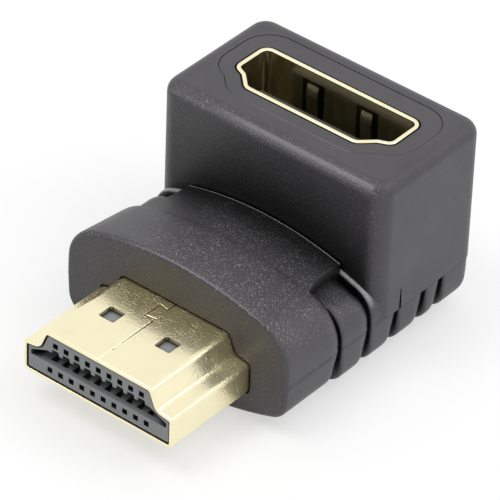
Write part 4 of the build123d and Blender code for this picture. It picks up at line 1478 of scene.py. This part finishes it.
def lamp(name, place, target, side, power):
    """Square area lamp that looks at a target; its side in metres and its power in watts."""
    data = bpy.data.lights.new(name, "AREA")
    data.shape = "RECTANGLE"
    data.size = data.size_y = side
    data.energy = power
    lamp_object = bpy.data.objects.new(name, data)
    bpy.context.scene.collection.objects.link(lamp_object)
    lamp_object.location = place
    lamp_object.rotation_mode = "QUATERNION"
    lamp_object.rotation_quaternion = (Vector(target) - Vector(place)).to_track_quat("-Z", "Y")


class ADAPTER_OT_stage(bpy.types.Operator):
    """Sets the camera, the pale floor and the studio lamps"""

    bl_idname = "adapter.stage"
    bl_label = "Camera, floor and lamps"

    def execute(self, context):
        scene = context.scene
        t = scene.adapter_studio
        right = Vector((cos(t.azimuth), sin(t.azimuth), 0.0))
        back = Vector((sin(t.azimuth) * cos(t.elevation), -cos(t.azimuth) * cos(t.elevation), sin(t.elevation)))
        up = back.cross(right)
        rolled_right = right * cos(t.roll) + up * sin(t.roll)
        rolled_up = up * cos(t.roll) - right * sin(t.roll)
        data = bpy.data.cameras.new("camera")
        data.lens = t.lens
        data.sensor_width = 36.0
        data.clip_start, data.clip_end = 0.01, 10.0
        camera = bpy.data.objects.new("camera", data)
        scene.collection.objects.link(camera)
        place = rolled_right * t.aim_right + rolled_up * t.aim_up + back * t.distance
        turn = Matrix((rolled_right, rolled_up, back)).transposed().to_4x4()
        camera.matrix_world = Matrix.Translation(place) @ turn
        scene.camera = camera
        floor_mesh = bpy.data.meshes.new("floor")
        extent, below = 3.0, 0.00002
        level = BOOT_LOW.z - below
        floor_mesh.from_pydata([(-extent, -extent, level), (extent, -extent, level), (extent, extent, level),
                                (-extent, extent, level)], [], [(0, 1, 2, 3)])
        floor = bpy.data.objects.new("floor", floor_mesh)
        scene.collection.objects.link(floor)
        floor_mesh.materials.append(floor_material())
        scene.world = studio_world()
        centre = (0.0, 0.007, 0.003)
        lamp("overhead", place=(-0.12, -0.18, 0.5), target=centre, side=0.25, power=0.8)
        lamp("key", place=(0.3, 0.15, 0.4), target=centre, side=0.3, power=0.6)
        scene.view_settings.view_transform = "Standard"
        return {"FINISHED"}


class ADAPTER_PT_panel(bpy.types.Panel):
    """Lists the adapter's pieces in the sidebar"""

    bl_idname = "ADAPTER_PT_panel"
    bl_label = "Adapter"
    bl_space_type = "VIEW_3D"
    bl_region_type = "UI"
    bl_category = "Adapter"

    def draw(self, context):
        for operator in OPERATORS:
            self.layout.operator(operator.bl_idname)


GROUPS = {
    "adapter_connector": ConnectorSizes,
    "adapter_plug": PlugSizes,
    "adapter_socket": SocketSizes,
    "adapter_boot": BootSizes,
    "adapter_colours": FinishColours,
    "adapter_studio": StudioSizes,
}
OPERATORS = (
    ADAPTER_OT_boot,
    ADAPTER_OT_inner_moulding,
    ADAPTER_OT_plug_shell,
    ADAPTER_OT_plug_insulator,
    ADAPTER_OT_plug_contacts,
    ADAPTER_OT_socket_shell,
    ADAPTER_OT_socket_insulator,
    ADAPTER_OT_socket_contacts,
    ADAPTER_OT_board,
    ADAPTER_OT_stage,
)


def register():
    """Registers the property groups, operators and panel."""
    for name, group in GROUPS.items():
        bpy.utils.register_class(group)
        setattr(bpy.types.Scene, name, PointerProperty(type=group))
    for operator in OPERATORS:
        bpy.utils.register_class(operator)
    bpy.utils.register_class(ADAPTER_PT_panel)


def unregister():
    """Takes them away again."""
    bpy.utils.unregister_class(ADAPTER_PT_panel)
    for operator in reversed(OPERATORS):
        bpy.utils.unregister_class(operator)
    for name, group in GROUPS.items():
        delattr(bpy.types.Scene, name)
        bpy.utils.unregister_class(group)


def main():
    """Builds every piece and the stage."""
    register()
    for operator in OPERATORS:
        package, name = operator.bl_idname.split(".")
        getattr(getattr(bpy.ops, package), name)()


if __name__ == "__main__":
    main()
